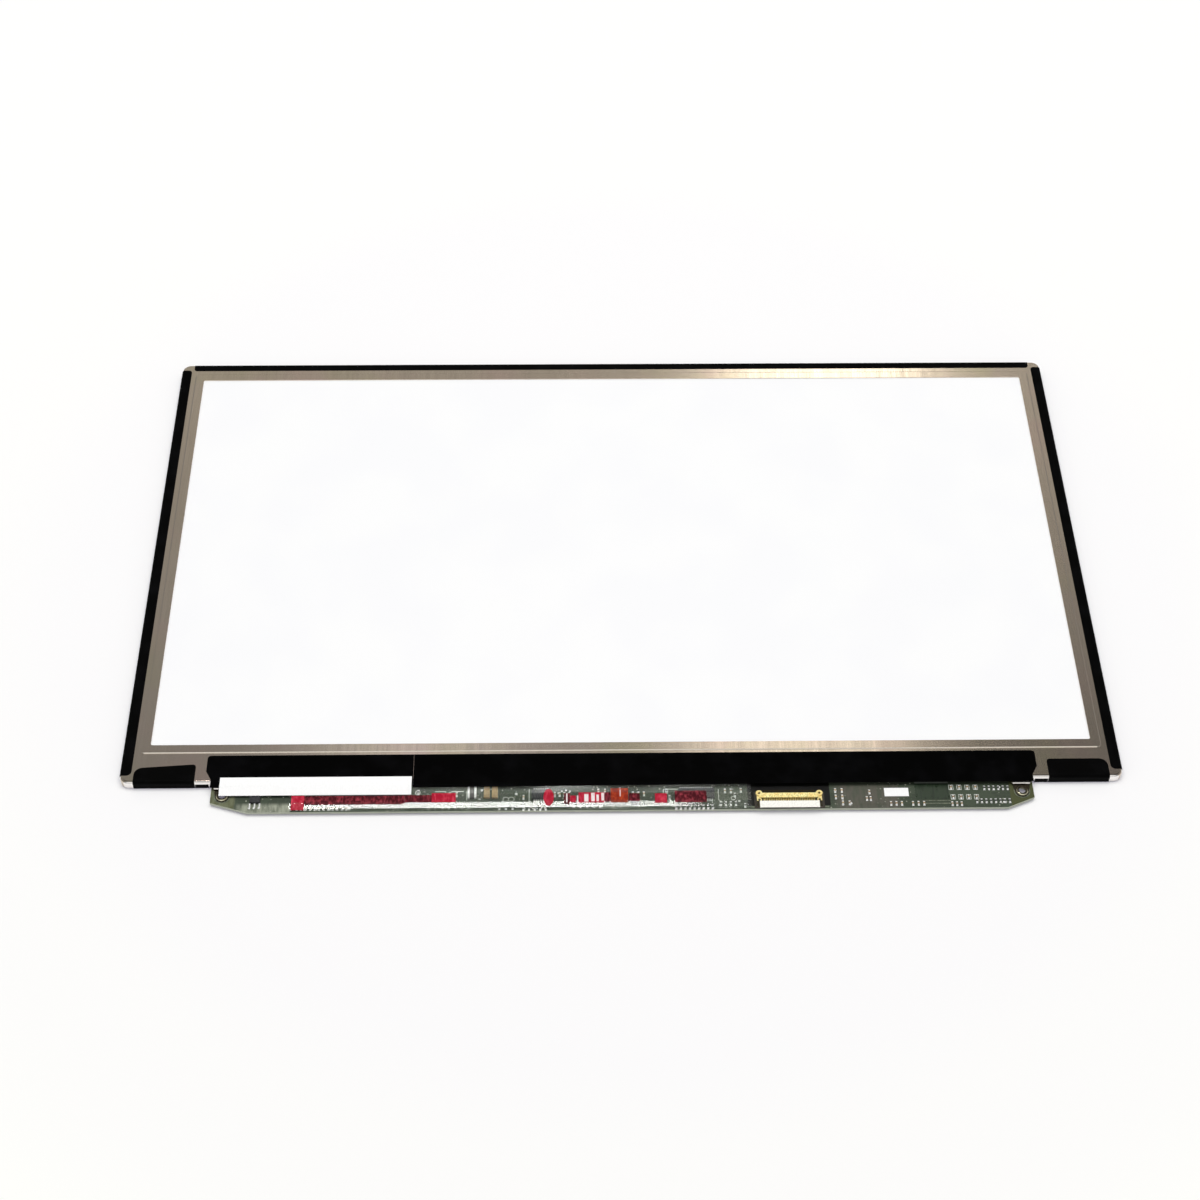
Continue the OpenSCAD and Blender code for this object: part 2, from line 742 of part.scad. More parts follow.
// The wide tape between x0 and x1: flat on the flange and the lugs, then falling to the board;
// reach is how far its left end passes the lower wall
module wide_tape(x0, x1, reach) {
    flap_y = front_y - reach;
    lip_y = front_y - flap_right;
    half = wide_tape_x;
    shoulder = half - 1.6;
    intersection() {
        across(x0, x1) ribbon([
            [wide_tape_back, flange_top], [fold_y, flange_top], [flap_y, flap_z(flap_y)]
        ], tape_t);
        linear_extrude(cover_top) difference() {
            polygon([
                [-half, wide_tape_back], [half, wide_tape_back], [half, front_y + 3.8],
                [shoulder, front_y + 0.9], [shoulder, lip_y], [along(0.775), lip_y],
                [along(0.29), flap_y], [-shoulder, flap_y],
                [-shoulder, front_y + 0.9], [-half, front_y + 3.8]
            ]);
            for (side = [0, 1]) mirror([side, 0, 0])
                translate([half - 1, wide_tape_back - 1]) difference() {
                    square(2);
                    circle(1);
                }
        }
    }
}

module wide_tape_left() {
    color(black) wide_tape(-wide_tape_x - 1, -wide_tape_x + seam_at - seam_gap, flap_short);
}

module wide_tape_right() {
    color(black) wide_tape(-wide_tape_x + seam_at, wide_tape_x + 1, flap_left);
}

// Section of a tape folded round the edge of the panel, as [distance outwards, z];
// front is how far it laps the front face
module wrap_section(front) {
    lap_z = front_glass_z - tape_t;
    translate([-bend_r, flange_top - bend_r]) difference() {
        intersection() {
            circle(bend_r + tape_t);
            square(bend_r + tape_t);
        }
        circle(bend_r);
    }
    translate([0, lap_z]) square([tape_t, flange_top - bend_r - lap_z]);
    translate([-front, lap_z]) square([front + tape_t, tape_t]);
}

// Outline from the origin whose two far corners are round; drop is how much lower the right one is
module tab(w, h, left_r, right_r, drop) {
    left = [left_r, h - left_r];
    right = [w - right_r, h - drop - right_r];
    span = right - left;
    slope = atan2(span[1], span[0]) + acos((left_r - right_r) / norm(span));
    up = [cos(slope), sin(slope)];
    polygon([
        [0, 0], [w, 0], [w, right[1]], right + right_r * up, left + left_r * up, [0, left[1]]
    ]);
    translate(left) circle(left_r);
    translate(right) circle(right_r);
}

// Tape folded round an edge that runs along X, with the panel on its +Y side
module wrap(length, rear, front, left_r, right_r, drop = 0) {
    translate([length, 0, 0]) rotate([90, 0, -90]) linear_extrude(length) wrap_section(front);
    translate([0, bend_r, flange_top]) linear_extrude(tape_t)
        tab(length, rear - bend_r, left_r, right_r, drop);
}

module right_edge_tape() {
    y0 = front_y + corner_r - 0.2;
    y1 = back_y - corner_r;
    color(black) translate([side_x, y0, 0]) rotate(90)
        wrap(y1 - y0, side_tape_w, side_x - polarizer_x - 0.2, 1.5, 1.1);
}

module left_edge_tape() {
    mirror([1, 0, 0]) right_edge_tape();
}

module top_edge_tape() {
    x = polarizer_x + 0.1;
    color(black) translate([x, back_y, 0]) rotate(180)
        wrap(2 * x, top_tape_w, back_y - polarizer_back - 0.2, 1, 1);
}

// Patch folded over the lower wall, near the corner of the panel
module corner_patch(drop) {
    x0 = wide_tape_x + patch_gap;
    x1 = side_x - corner_r - patch_end;
    color(black) translate([x0, front_y, 0]) wrap(x1 - x0, patch_h, patch_lap, 1, 2.5, drop);
}

module right_corner_patch() {
    corner_patch(0);
}

module left_corner_patch() {
    mirror([1, 0, 0]) corner_patch(patch_slant);
}

module rear_label() {
    x0 = -wide_tape_x + label_inset;
    top = front_y + 1.5;
    bottom = top - label_h;
    color("white") across(x0, x0 + label_w) ribbon([
        [top, tape_top], [fold_y, tape_top], [bottom, flap_z(bottom) + tape_t]
    ], label_t);
}

module board_label() {
    x = along(tail_at) - led_tail_w / 2 - label_clear - board_label_w;
    y = up_board(0.44);
    color("#f4f4ee") translate([x, y, board_top]) cube([board_label_w, board_label_h, label_t]);
}

rear_cover();
guide_frame();
reflector_sheet();
light_guide();
led_strip();
led_packages();
diffuser_sheet();
lower_prism_sheet();
upper_prism_sheet();
rim_tape();
lower_polarizer();
rear_glass();
front_glass();
upper_polarizer();
driver_films();
driver_chips();
driver_board();
connector_housing();
connector_shell();
connector_contacts();
timing_controller();
timing_controller_leads();
backlight_driver();
backlight_driver_leads();
memory_chip();
memory_chip_leads();
power_capacitors();
choke();
chip_capacitors();
chip_resistors();
chip_terminals();
clear_film();
wide_tape_left();
wide_tape_right();
left_edge_tape();
right_edge_tape();
top_edge_tape();
left_corner_patch();
right_corner_patch();
rear_label();
board_label();
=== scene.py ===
# Laptop screen panel on its front face: camera, light, finishes and the fine parts of its board
import math
import bmesh
import bpy
import numpy as np
from mathutils import Matrix, Vector


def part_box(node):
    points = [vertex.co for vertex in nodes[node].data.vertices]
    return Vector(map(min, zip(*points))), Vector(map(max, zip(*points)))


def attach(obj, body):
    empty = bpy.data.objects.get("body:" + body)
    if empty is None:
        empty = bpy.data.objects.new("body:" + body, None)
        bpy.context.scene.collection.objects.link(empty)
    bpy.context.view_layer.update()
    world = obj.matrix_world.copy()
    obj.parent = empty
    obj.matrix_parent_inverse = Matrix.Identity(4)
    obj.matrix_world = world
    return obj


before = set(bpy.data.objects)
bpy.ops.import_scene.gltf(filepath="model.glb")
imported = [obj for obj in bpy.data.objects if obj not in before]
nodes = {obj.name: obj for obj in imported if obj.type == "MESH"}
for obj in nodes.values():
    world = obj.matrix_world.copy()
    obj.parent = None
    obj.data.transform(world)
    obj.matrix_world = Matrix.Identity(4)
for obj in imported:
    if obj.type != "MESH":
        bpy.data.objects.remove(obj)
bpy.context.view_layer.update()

mm = 0.001
white = (1.0, 1.0, 1.0, 1.0)
print("frame loaded,", len(nodes), "nodes")


# Camera, fitted to the four edges of the cover and of its window

cameraSetup = {
    "place": (-0.015869, -0.452224, 0.51975),
    "tilt": 40.3055, "roll": -0.58197, "turn": -0.43728,  # degrees, roll first and turn last
    "lens": 66.0, "sensor": 36.0, "nearest": 0.01,
}


def setCamera(setup):
    data = bpy.data.cameras.new("camera")
    data.lens, data.sensor_width, data.clip_start = setup["lens"], setup["sensor"], setup["nearest"]
    camera = bpy.data.objects.new("camera", data)
    bpy.context.collection.objects.link(camera)
    turned = (Matrix.Rotation(math.radians(setup["turn"]), 3, "Z")
              @ Matrix.Rotation(math.radians(setup["tilt"]), 3, "X")
              @ Matrix.Rotation(math.radians(setup["roll"]), 3, "Y"))
    camera.location = setup["place"]
    camera.rotation_euler = turned.to_euler()
    bpy.context.scene.camera = camera


setCamera(cameraSetup)
bpy.context.scene.view_settings.view_transform = "Standard"
print("camera set")


# Helpers for the finishes: most of them add nodes to a tree and hand back the socket to use

def tone(red, green, blue):  # a colour as a screen shows it, 0 to 255, made linear
    part = np.array([red, green, blue]) / 255
    linear = np.where(part <= 0.04045, part / 12.92, ((part + 0.055) / 1.055) ** 2.4)
    return (*linear.tolist(), 1.0)


def newFinish(name, values):
    made = bpy.data.materials.new(name)
    made.use_nodes = True
    tree = made.node_tree
    shader = tree.nodes["Principled BSDF"]
    for socket, value in values.items():
        shader.inputs[socket].default_value = value
    return made, tree, shader


def wear(finish, *worn):  # gives CAD nodes their finish
    for node in worn:
        for used in nodes[node].material_slots:
            used.material = finish


def feed(tree, target, value):  # links a socket, or sets a plain value
    if isinstance(value, bpy.types.NodeSocket):
        tree.links.new(value, target)
    else:
        target.default_value = value


def place(tree, stretch=(1, 1, 1), turn=0.0, shift=(0, 0, 0)):
    # object coordinates, stretched, turned by degrees and shifted by metres
    coords = tree.nodes.new("ShaderNodeTexCoord")
    mapping = tree.nodes.new("ShaderNodeMapping")
    mapping.inputs["Scale"].default_value = stretch
    mapping.inputs["Rotation"].default_value = (0, 0, math.radians(turn))
    mapping.inputs["Location"].default_value = shift
    tree.links.new(coords.outputs["Object"], mapping.inputs["Vector"])
    return mapping.outputs["Vector"]


def axis(tree, name):  # one of the object coordinates, in metres
    parts = tree.nodes.new("ShaderNodeSeparateXYZ")
    tree.links.new(place(tree), parts.inputs["Vector"])
    return parts.outputs[name]


def grain(tree, size, stretch=(1, 1, 1), detail=3.0, rough=0.5, turn=0.0, shift=(0, 0, 0)):
    noise = tree.nodes.new("ShaderNodeTexNoise")  # blotches about size millimetres across
    noise.inputs["Scale"].default_value = 1 / (size * mm)
    noise.inputs["Detail"].default_value = detail
    noise.inputs["Roughness"].default_value = rough
    tree.links.new(place(tree, stretch, turn, shift), noise.inputs["Vector"])
    return noise.outputs["Fac"]


def cells(tree, size, random=1.0):
    # distance from the middles of cells about size millimetres across
    voronoi = tree.nodes.new("ShaderNodeTexVoronoi")
    voronoi.inputs["Scale"].default_value = 1 / (size * mm)
    voronoi.inputs["Randomness"].default_value = random
    tree.links.new(place(tree), voronoi.inputs["Vector"])
    return voronoi.outputs["Distance"]


def spread(tree, value, low, high, start=0.0, end=1.0):  # low to high becomes start to end
    ranged = tree.nodes.new("ShaderNodeMapRange")
    feed(tree, ranged.inputs["Value"], value)
    limits = {"From Min": low, "From Max": high, "To Min": start, "To Max": end}
    for socket, number in limits.items():
        ranged.inputs[socket].default_value = number
    return ranged.outputs["Result"]


def ramp(tree, value, start, end):  # 0 at start and 1 at end, both in millimetres
    return spread(tree, value, start * mm, end * mm)


def reckon(tree, operation, first, second=0.0):
    sums = tree.nodes.new("ShaderNodeMath")
    sums.operation = operation
    feed(tree, sums.inputs[0], first)
    feed(tree, sums.inputs[1], second)
    return sums.outputs["Value"]


def product(tree, first, *others):
    for other in others:
        first = reckon(tree, "MULTIPLY", first, other)
    return first


def rest(tree, share):  # what a share leaves of one
    return reckon(tree, "SUBTRACT", 1.0, share)


def over(tree, value, limit):  # 1 above a limit in millimetres, otherwise 0
    return reckon(tree, "GREATER_THAN", value, limit * mm)


def under(tree, value, limit):  # 1 below a limit in millimetres, otherwise 0
    return reckon(tree, "LESS_THAN", value, limit * mm)


def aside(tree, middle=None):  # distance from a middle along X, from 0 where none is given
    across = axis(tree, "X")
    if middle is not None:
        across = reckon(tree, "SUBTRACT", across, middle * mm)
    return reckon(tree, "ABSOLUTE", across)


def tint(tree, share, first, second):  # first where share is 0, second where it is 1
    mixed = tree.nodes.new("ShaderNodeMix")
    mixed.data_type = "RGBA"
    feed(tree, mixed.inputs["Factor"], share)
    feed(tree, mixed.inputs[6], first)
    feed(tree, mixed.inputs[7], second)
    return mixed.outputs[2]


def paint(tree, shader, colour):
    tree.links.new(colour, shader.inputs["Base Color"])


def roughen(tree, shader, pattern, least, most):
    tree.links.new(spread(tree, pattern, 0.3, 0.7, least, most), shader.inputs["Roughness"])


def relief(tree, shader, height, depth, strength):  # depth in millimetres
    bump = tree.nodes.new("ShaderNodeBump")
    bump.inputs["Strength"].default_value = strength
    bump.inputs["Distance"].default_value = depth * mm
    feed(tree, bump.inputs["Height"], height)
    tree.links.new(bump.outputs["Normal"], shader.inputs["Normal"])


def rays(tree, *kinds):  # 1 for rays of these kinds, otherwise 0
    paths = tree.nodes.new("ShaderNodeLightPath").outputs
    met = paths["Is " + kinds[0] + " Ray"]
    for kind in kinds[1:]:
        met = reckon(tree, "MAXIMUM", met, paths["Is " + kind + " Ray"])
    return met


def mixShaders(tree, share, first, second):  # first where share is 0, second where it is 1
    both = tree.nodes.new("ShaderNodeMixShader")
    tree.links.new(share, both.inputs["Fac"])
    tree.links.new(first, both.inputs[1])
    tree.links.new(second, both.inputs[2])
    return both.outputs["Shader"]


# Rolled steel: streaks along Y, a faint pink and olive bloom and a few handling scratches, with
# painted shade on the lugs, and a painted highlight on the outer walls and bends and on the front
# step of the raised band

steelLook = {
    "light": tone(216, 203, 188), "dark": tone(200, 187, 172), "scratch": tone(225, 215, 205),
    "pink": tone(216, 194, 184), "olive": tone(206, 200, 168),
    "grain": 0.16, "bands": 3.0, "bloom": 24.0, "roughness": (0.13, 0.19),
    "scratchWidth": 0.5, "scratchTurn": 62, "scratchPatch": 9.0,
    # painted shade on the lugs; painted highlights on the outer walls and bends and on the front
    # step
    "lug": tone(104, 96, 82), "lugZone": (111.9, -83.3, 1.93),  # past x, before y, under z
    "wall": tone(246, 242, 238), "wallHighlightZone": (144.6, -81.2, 2.72),  # past x or before y, under z
    "step": tone(252, 244, 230), "stepZone": (-71.0, 2.90, 3.04),  # before y, z from and to
}


def steelFinish(look):
    made, tree, shader = newFinish("rolledSteel", {"Metallic": 1.0})
    streaks = grain(tree, look["grain"], (1, 0.012, 1), 4.0, 0.65)
    bands = grain(tree, look["bands"], (1, 0.05, 1), 2.0)
    shade = reckon(tree, "ADD", product(tree, streaks, 0.6), product(tree, bands, 0.4))
    colour = tint(tree, spread(tree, shade, 0.36, 0.64), look["dark"], look["light"])
    bloom = spread(tree, grain(tree, look["bloom"]), 0.50, 0.68, 0.0, 0.6)
    colour = tint(tree, bloom, colour, look["pink"])
    bloom = spread(tree, grain(tree, look["bloom"], shift=(0.3, 0.1, 0)), 0.52, 0.70, 0.0, 0.5)
    colour = tint(tree, bloom, colour, look["olive"])
    lines = grain(tree, look["scratchWidth"], (1, 0.03, 1), 1.0, 0.4, look["scratchTurn"])
    patches = spread(tree, grain(tree, look["scratchPatch"]), 0.5, 0.6)
    scratch = product(tree, spread(tree, lines, 0.735, 0.76), patches, 0.5)
    colour = tint(tree, scratch, colour, look["scratch"])

    # painted shade: the lugs get a darker tone
    out, front, top = look["lugZone"]
    lugs = product(tree, over(tree, aside(tree), out), under(tree, axis(tree, "Y"), front),
                   under(tree, axis(tree, "Z"), top))
    colour = tint(tree, lugs, colour, look["lug"])
    # painted highlight: the outer walls and their bends get a near white tone
    out, front, top = look["wallHighlightZone"]
    outer = reckon(tree, "MAXIMUM", over(tree, aside(tree), out),
                   under(tree, axis(tree, "Y"), front))
    litWalls = product(tree, outer, ramp(tree, axis(tree, "Z"), top + 0.08, top - 0.04),
                    rest(tree, lugs))
    colour = tint(tree, litWalls, colour, look["wall"])
    # painted highlight: the front step of the raised band gets a near white tone
    front, foot, top = look["stepZone"]
    step = product(tree, over(tree, axis(tree, "Z"), foot), under(tree, axis(tree, "Z"), top),
                   under(tree, axis(tree, "Y"), front))
    paint(tree, shader, tint(tree, step, colour, look["step"]))

    low, high = look["roughness"]  # the darker streaks are the rougher ones
    tree.links.new(spread(tree, shade, 0.35, 0.65, high, low), shader.inputs["Roughness"])
    relief(tree, shader, reckon(tree, "SUBTRACT", streaks, scratch), 0.002, 0.25)
    return made


wear(steelFinish(steelLook), "rear_cover")
print("steel done")


# Black tapes: matt polyester film with a fine tooth, faint dust and long shallow creases

tapeLook = {
    "black": tone(3, 3, 3), "worn": tone(8, 8, 9), "dust": tone(48, 48, 50),
    "tooth": 0.22, "wear": 7.0, "specks": 2.3, "folds": 9.0,  # sizes in millimetres
    "edgeTape": {"gloss": 0.025, "creases": 0.3}, "wideTape": {"gloss": 0.01, "creases": 1.0},
}


def tapeFinish(name, look):
    made, tree, shader = newFinish(name, {"Specular IOR Level": look[name]["gloss"]})
    tooth = grain(tree, look["tooth"], detail=2.0)
    lighterShare = spread(tree, grain(tree, look["wear"], detail=4.0), 0.45, 0.70)
    colour = tint(tree, lighterShare, look["black"], look["worn"])
    specks = spread(tree, cells(tree, look["specks"]), 0.035, 0.02)
    paint(tree, shader, tint(tree, product(tree, specks, 0.35), colour, look["dust"]))
    roughen(tree, shader, tooth, 0.42, 0.60)
    folds = product(tree, grain(tree, look["folds"], (0.35, 1.6, 1), 2.0), look[name]["creases"])
    relief(tree, shader, reckon(tree, "ADD", product(tree, tooth, 0.12), folds), 0.12, 0.6)
    return made


edgeTape = tapeFinish("edgeTape", tapeLook)
wear(edgeTape, "left_edge_tape", "right_edge_tape", "top_edge_tape",
     "left_corner_patch", "right_corner_patch", "rim_tape")
wear(tapeFinish("wideTape", tapeLook), "wide_tape_left", "wide_tape_right")


# Paper labels, left blank: soft fibre in two whites

paperLook = {
    "white": tone(255, 255, 254), "shade": tone(251, 251, 250), "fibre": 0.5, "ripple": 6.0,
    "roughness": (0.47, 0.65),
}


def paperFinish(look):
    made, tree, shader = newFinish("labelPaper", {"Specular IOR Level": 0.25})
    fibre = grain(tree, look["fibre"], (1, 0.5, 1), 4.0, 0.6)
    paint(tree, shader, tint(tree, spread(tree, fibre, 0.40, 0.62), look["shade"], look["white"]))
    roughen(tree, shader, fibre, *look["roughness"])
    ripple = grain(tree, look["ripple"], (0.7, 1.4, 1), 1.0)
    relief(tree, shader, reckon(tree, "ADD", product(tree, fibre, 0.1), ripple), 0.03, 0.4)
    return made


wear(paperFinish(paperLook), "rear_label", "board_label")
print("tapes and labels done")


# Sheets behind the glass: the white reflector seen in the window, and the clearer ones under it

sheetLooks = {  # name, two tones, roughness, how clear
    "reflector_sheet": ("reflectorFilm", tone(251, 251, 251), tone(249, 249, 250), 0.5, 0.0),
    "diffuser_sheet": ("diffuserFilm", tone(240, 240, 238), tone(232, 232, 230), 0.6, 0.2),
    "lower_prism_sheet": ("lowerPrismFilm", tone(222, 226, 230), tone(208, 213, 218), 0.3, 0.4),
    "upper_prism_sheet": ("upperPrismFilm", tone(214, 220, 226), tone(200, 207, 214), 0.3, 0.4),
    "light_guide": ("acrylicGuide", tone(236, 242, 244), tone(226, 234, 238), 0.12, 0.8),
}


def sheetFinish(name, first, second, roughness, clear):
    made, tree, shader = newFinish(name, {
        "Transmission Weight": clear, "Specular IOR Level": 0.3, "IOR": 1.49})
    cloud = grain(tree, 30.0, detail=2.0)
    paint(tree, shader, tint(tree, spread(tree, cloud, 0.4, 0.6), first, second))
    roughen(tree, shader, cloud, roughness - 0.05, roughness + 0.05)
    relief(tree, shader, grain(tree, 14.0, detail=1.0), 0.03, 0.15)
    return made


for node, look in sheetLooks.items():
    wear(sheetFinish(*look), node)


# Glass and polarizers of the screen: near black, the picture area a little bluer than its border

screenLook = {
    "picture": tone(16, 18, 24), "border": tone(8, 8, 9), "haze": tone(26, 27, 34),
    "halfWidth": 138.3, "edge": tone(92, 112, 110), "edgeShade": tone(76, 96, 96),
}


def polarizerFinish(look):
    made, tree, shader = newFinish("polarizerFilm", {
        "Specular IOR Level": 0.45, "Coat Weight": 0.3, "Coat Roughness": 0.18})
    side = ramp(tree, aside(tree), look["halfWidth"], look["halfWidth"] + 0.1)
    haze = spread(tree, grain(tree, 40.0), 0.4, 0.7, 0.0, 0.25)
    colour = tint(tree, side, look["picture"], look["border"])
    paint(tree, shader, tint(tree, haze, colour, look["haze"]))
    roughen(tree, shader, grain(tree, 0.15, detail=1.0), 0.26, 0.36)
    relief(tree, shader, grain(tree, 0.08, detail=1.0), 0.002, 0.3)
    return made


def glassFinish(look):
    made, tree, shader = newFinish("panelGlass", {"IOR": 1.51, "Transmission Weight": 0.35})
    clouds = spread(tree, grain(tree, 5.0), 0.4, 0.6)
    paint(tree, shader, tint(tree, clouds, look["edge"], look["edgeShade"]))
    roughen(tree, shader, grain(tree, 0.6), 0.08, 0.2)
    return made


wear(polarizerFinish(screenLook), "upper_polarizer", "lower_polarizer")
wear(glassFinish(screenLook), "front_glass", "rear_glass")
print("screen done")


# Plastics, ceramics and ferrite: one recipe, each with its own tooth, drift in colour and gloss

plasticLooks = {  # name, two tones, size of the tooth, roughness, depth of the tooth
    "guide_frame": ("frameResin", tone(232, 232, 228), tone(220, 220, 214), 0.3, 0.5, 0.02),
    "led_packages": ("diodeResin", tone(246, 240, 198), tone(236, 226, 170), 0.2, 0.3, 0.01),
    "connector_housing": ("socketResin", tone(40, 36, 30), tone(58, 50, 38), 0.2, 0.45, 0.01),
    "timing_controller": ("controllerEpoxy", tone(34, 35, 38), tone(50, 51, 54), 0.12, 0.5, 0.015),
    "backlight_driver": ("driverEpoxy", tone(30, 31, 34), tone(46, 47, 50), 0.12, 0.5, 0.015),
    "memory_chip": ("memoryEpoxy", tone(32, 33, 36), tone(48, 49, 52), 0.12, 0.5, 0.015),
    "power_capacitors": ("tallCeramic", tone(168, 146, 102), tone(148, 124, 84), 0.3, 0.5, 0.01),
    "chip_capacitors": ("smallCeramic", tone(176, 152, 112), tone(132, 108, 78), 0.9, 0.45, 0.01),
    "choke": ("chokeFerrite", tone(62, 61, 58), tone(84, 82, 78), 0.2, 0.6, 0.02),
    "chip_resistors": ("resistorGlaze", tone(22, 23, 26), tone(44, 45, 48), 0.5, 0.3, 0.01),
    "driver_chips": ("chipSilicon", tone(48, 50, 56), tone(70, 72, 80), 1.2, 0.2, 0.004),
}


def plasticFinish(name, first, second, size, roughness, depth):
    made, tree, shader = newFinish(name, {"Specular IOR Level": 0.4})
    drift = spread(tree, grain(tree, 5.0 * size), 0.38, 0.64)
    paint(tree, shader, tint(tree, drift, first, second))
    tooth = grain(tree, size, detail=2.0)
    roughen(tree, shader, tooth, roughness - 0.07, roughness + 0.09)
    relief(tree, shader, tooth, depth, 0.6)
    return made


for node, look in plasticLooks.items():
    wear(plasticFinish(*look), node)


# Bright metals: the gold plated socket, its front plate pale tin partly and partly a painted
# reflection, with painted shade on its legs, its contacts, and tinned leads

goldLook = {
    "gold": tone(255, 242, 172), "deep": tone(248, 220, 142),
    # the front plate: pale tin, brightened further as a painted reflection
    "plateSheen": tone(253, 251, 243), "plateBack": -89.2, "plateMiddle": 47.65, "plateHalf": 8.55,
    # painted shade on the legs
    "legShade": tone(50, 45, 30),  # past the ends of the plate
    "metallic": (0.45, 0.1),  # of the shell and of the plate
    "tail": tone(56, 48, 28), "tailFrom": -86.7,
}
tinLook = {"bright": tone(252, 252, 250), "grey": tone(216, 218, 216)}


def goldFinish(look):
    made, tree, shader = newFinish("goldPlating", {})
    colour = tint(tree, spread(tree, grain(tree, 1.4), 0.4, 0.62), look["gold"], look["deep"])
    back, half = look["plateBack"], look["plateHalf"]
    front = ramp(tree, axis(tree, "Y"), back, back - 0.05)
    beside = ramp(tree, aside(tree, look["plateMiddle"]), half, half + 0.05)
    # painted shade on the legs past the ends of the plate
    colour = tint(tree, product(tree, front, beside), colour, look["legShade"])
    # the plate: pale tin, partly a painted reflection
    plateSheen = product(tree, front, rest(tree, beside))
    paint(tree, shader, tint(tree, plateSheen, colour, look["plateSheen"]))
    tree.links.new(spread(tree, plateSheen, 0.0, 1.0, *look["metallic"]), shader.inputs["Metallic"])
    roughen(tree, shader, grain(tree, 0.3), 0.2, 0.36)
    relief(tree, shader, grain(tree, 0.25), 0.01, 0.3)
    return made


def contactFinish(look):
    made, tree, shader = newFinish("contactGold", {"Metallic": 1.0})
    colour = tint(tree, spread(tree, grain(tree, 0.6), 0.4, 0.6), look["gold"], look["deep"])
    tails = ramp(tree, axis(tree, "Y"), look["tailFrom"], look["tailFrom"] + 0.05)
    paint(tree, shader, tint(tree, tails, colour, look["tail"]))
    roughen(tree, shader, grain(tree, 0.2), 0.22, 0.38)
    return made


def tinFinish(look):
    made, tree, shader = newFinish("solderTin", {"Metallic": 0.5})
    dull = spread(tree, grain(tree, 0.5), 0.38, 0.62)
    paint(tree, shader, tint(tree, dull, look["bright"], look["grey"]))
    roughen(tree, shader, grain(tree, 0.16), 0.22, 0.42)
    relief(tree, shader, grain(tree, 0.2), 0.02, 0.4)
    return made


wear(goldFinish(goldLook), "connector_shell")
wear(contactFinish(goldLook), "connector_contacts")
tin = tinFinish(tinLook)
wear(tin, "timing_controller_leads", "backlight_driver_leads", "memory_chip_leads",
     "chip_terminals")
print("plastics and metals done")


# Driver board: green mask over copper runs, small vias, and bare laminate round the lugs

boardLook = {
    "mask": tone(56, 64, 52), "copper": tone(76, 86, 70), "via": tone(164, 166, 150),
    "runLength": 4.6, "runPitch": 0.5, "runGap": 0.09, "flood": 5.5, "viaPitch": 1.25,
    "bare": tone(74, 78, 48), "bareFrom": 111.4,
    # the sawn edge and underside: pale laminate, lightened further as a painted highlight
    "edge": tone(196, 200, 186), "edgeSheenTop": 1.47,  # the sawn edge and the underside
    "dark": tone(12, 12, 11), "darkSides": (35.7, 59.5), "darkFront": -90.4,  # round the socket
    "pale": [  # lighter patches, the second a painted reflection on the mask: x from and to, y of the back, colour
        (-121.0, -111.0, -83.0, tone(112, 116, 90)),
        (-111.4, -95.2, -88.4, tone(160, 164, 146)),
        (60.0, 79.5, -83.0, tone(90, 87, 78)),
    ],
}


def boardFinish(look):
    made, tree, shader = newFinish("solderMask", {"Specular IOR Level": 0.22})
    runs = tree.nodes.new("ShaderNodeTexBrick")  # straight copper runs with breaks
    sizes = {
        "Scale": 1.0, "Brick Width": look["runLength"] * mm, "Row Height": look["runPitch"] * mm,
        "Mortar Size": look["runGap"] * mm, "Mortar Smooth": 0.2,
    }
    for socket, number in sizes.items():
        runs.inputs[socket].default_value = number
    tree.links.new(place(tree), runs.inputs["Vector"])
    flood = spread(tree, grain(tree, look["flood"], (0.6, 1.2, 1), 1.0), 0.5, 0.53)
    copper = reckon(tree, "MAXIMUM", product(tree, runs.outputs["Fac"], 0.8),
                    product(tree, flood, 0.45))
    colour = tint(tree, copper, look["mask"], look["copper"])
    vias = product(tree, spread(tree, cells(tree, look["viaPitch"], 0.7), 0.20, 0.14),
                   spread(tree, grain(tree, 6.0), 0.47, 0.52))
    colour = tint(tree, vias, colour, look["via"])
    bare = ramp(tree, aside(tree), look["bareFrom"], look["bareFrom"] + 0.15)
    colour = tint(tree, bare, colour, look["bare"])

    left, right = look["darkSides"]
    front = look["darkFront"]
    around = product(tree, ramp(tree, axis(tree, "X"), left, left + 0.1),
                     ramp(tree, axis(tree, "X"), right, right - 0.1),
                     ramp(tree, axis(tree, "Y"), front, front + 0.1))
    colour = tint(tree, around, colour, look["dark"])
    # lighter patches; the second is a painted reflection of the lamp on the mask
    for left, right, back, pale in look["pale"]:
        lighterShare = product(tree, ramp(tree, axis(tree, "X"), left, left + 2.5),
                         ramp(tree, axis(tree, "X"), right, right - 0.3),
                         ramp(tree, axis(tree, "Y"), back + 0.4, back - 0.8),
                         spread(tree, grain(tree, 1.1, (1, 0.25, 1)), 0.35, 0.6, 0.35, 0.95))
        colour = tint(tree, lighterShare, colour, pale)
    # pale laminate edge, partly a painted highlight
    edgeSheen = ramp(tree, axis(tree, "Z"), look["edgeSheenTop"], look["edgeSheenTop"] - 0.03)
    paint(tree, shader, tint(tree, product(tree, edgeSheen, 0.8), colour, look["edge"]))
    roughen(tree, shader, grain(tree, 1.2), 0.32, 0.5)
    relief(tree, shader, reckon(tree, "ADD", copper, vias), 0.02, 0.6)
    return made


wear(boardFinish(boardLook), "driver_board")


# Flexible films: the amber driver films with their fine lines, and the green strip of the diodes

filmLook = {"amber": tone(158, 104, 44), "line": tone(196, 140, 72), "pitch": 0.35}
stripLook = {"mask": tone(32, 45, 30), "copper": tone(40, 54, 37)}


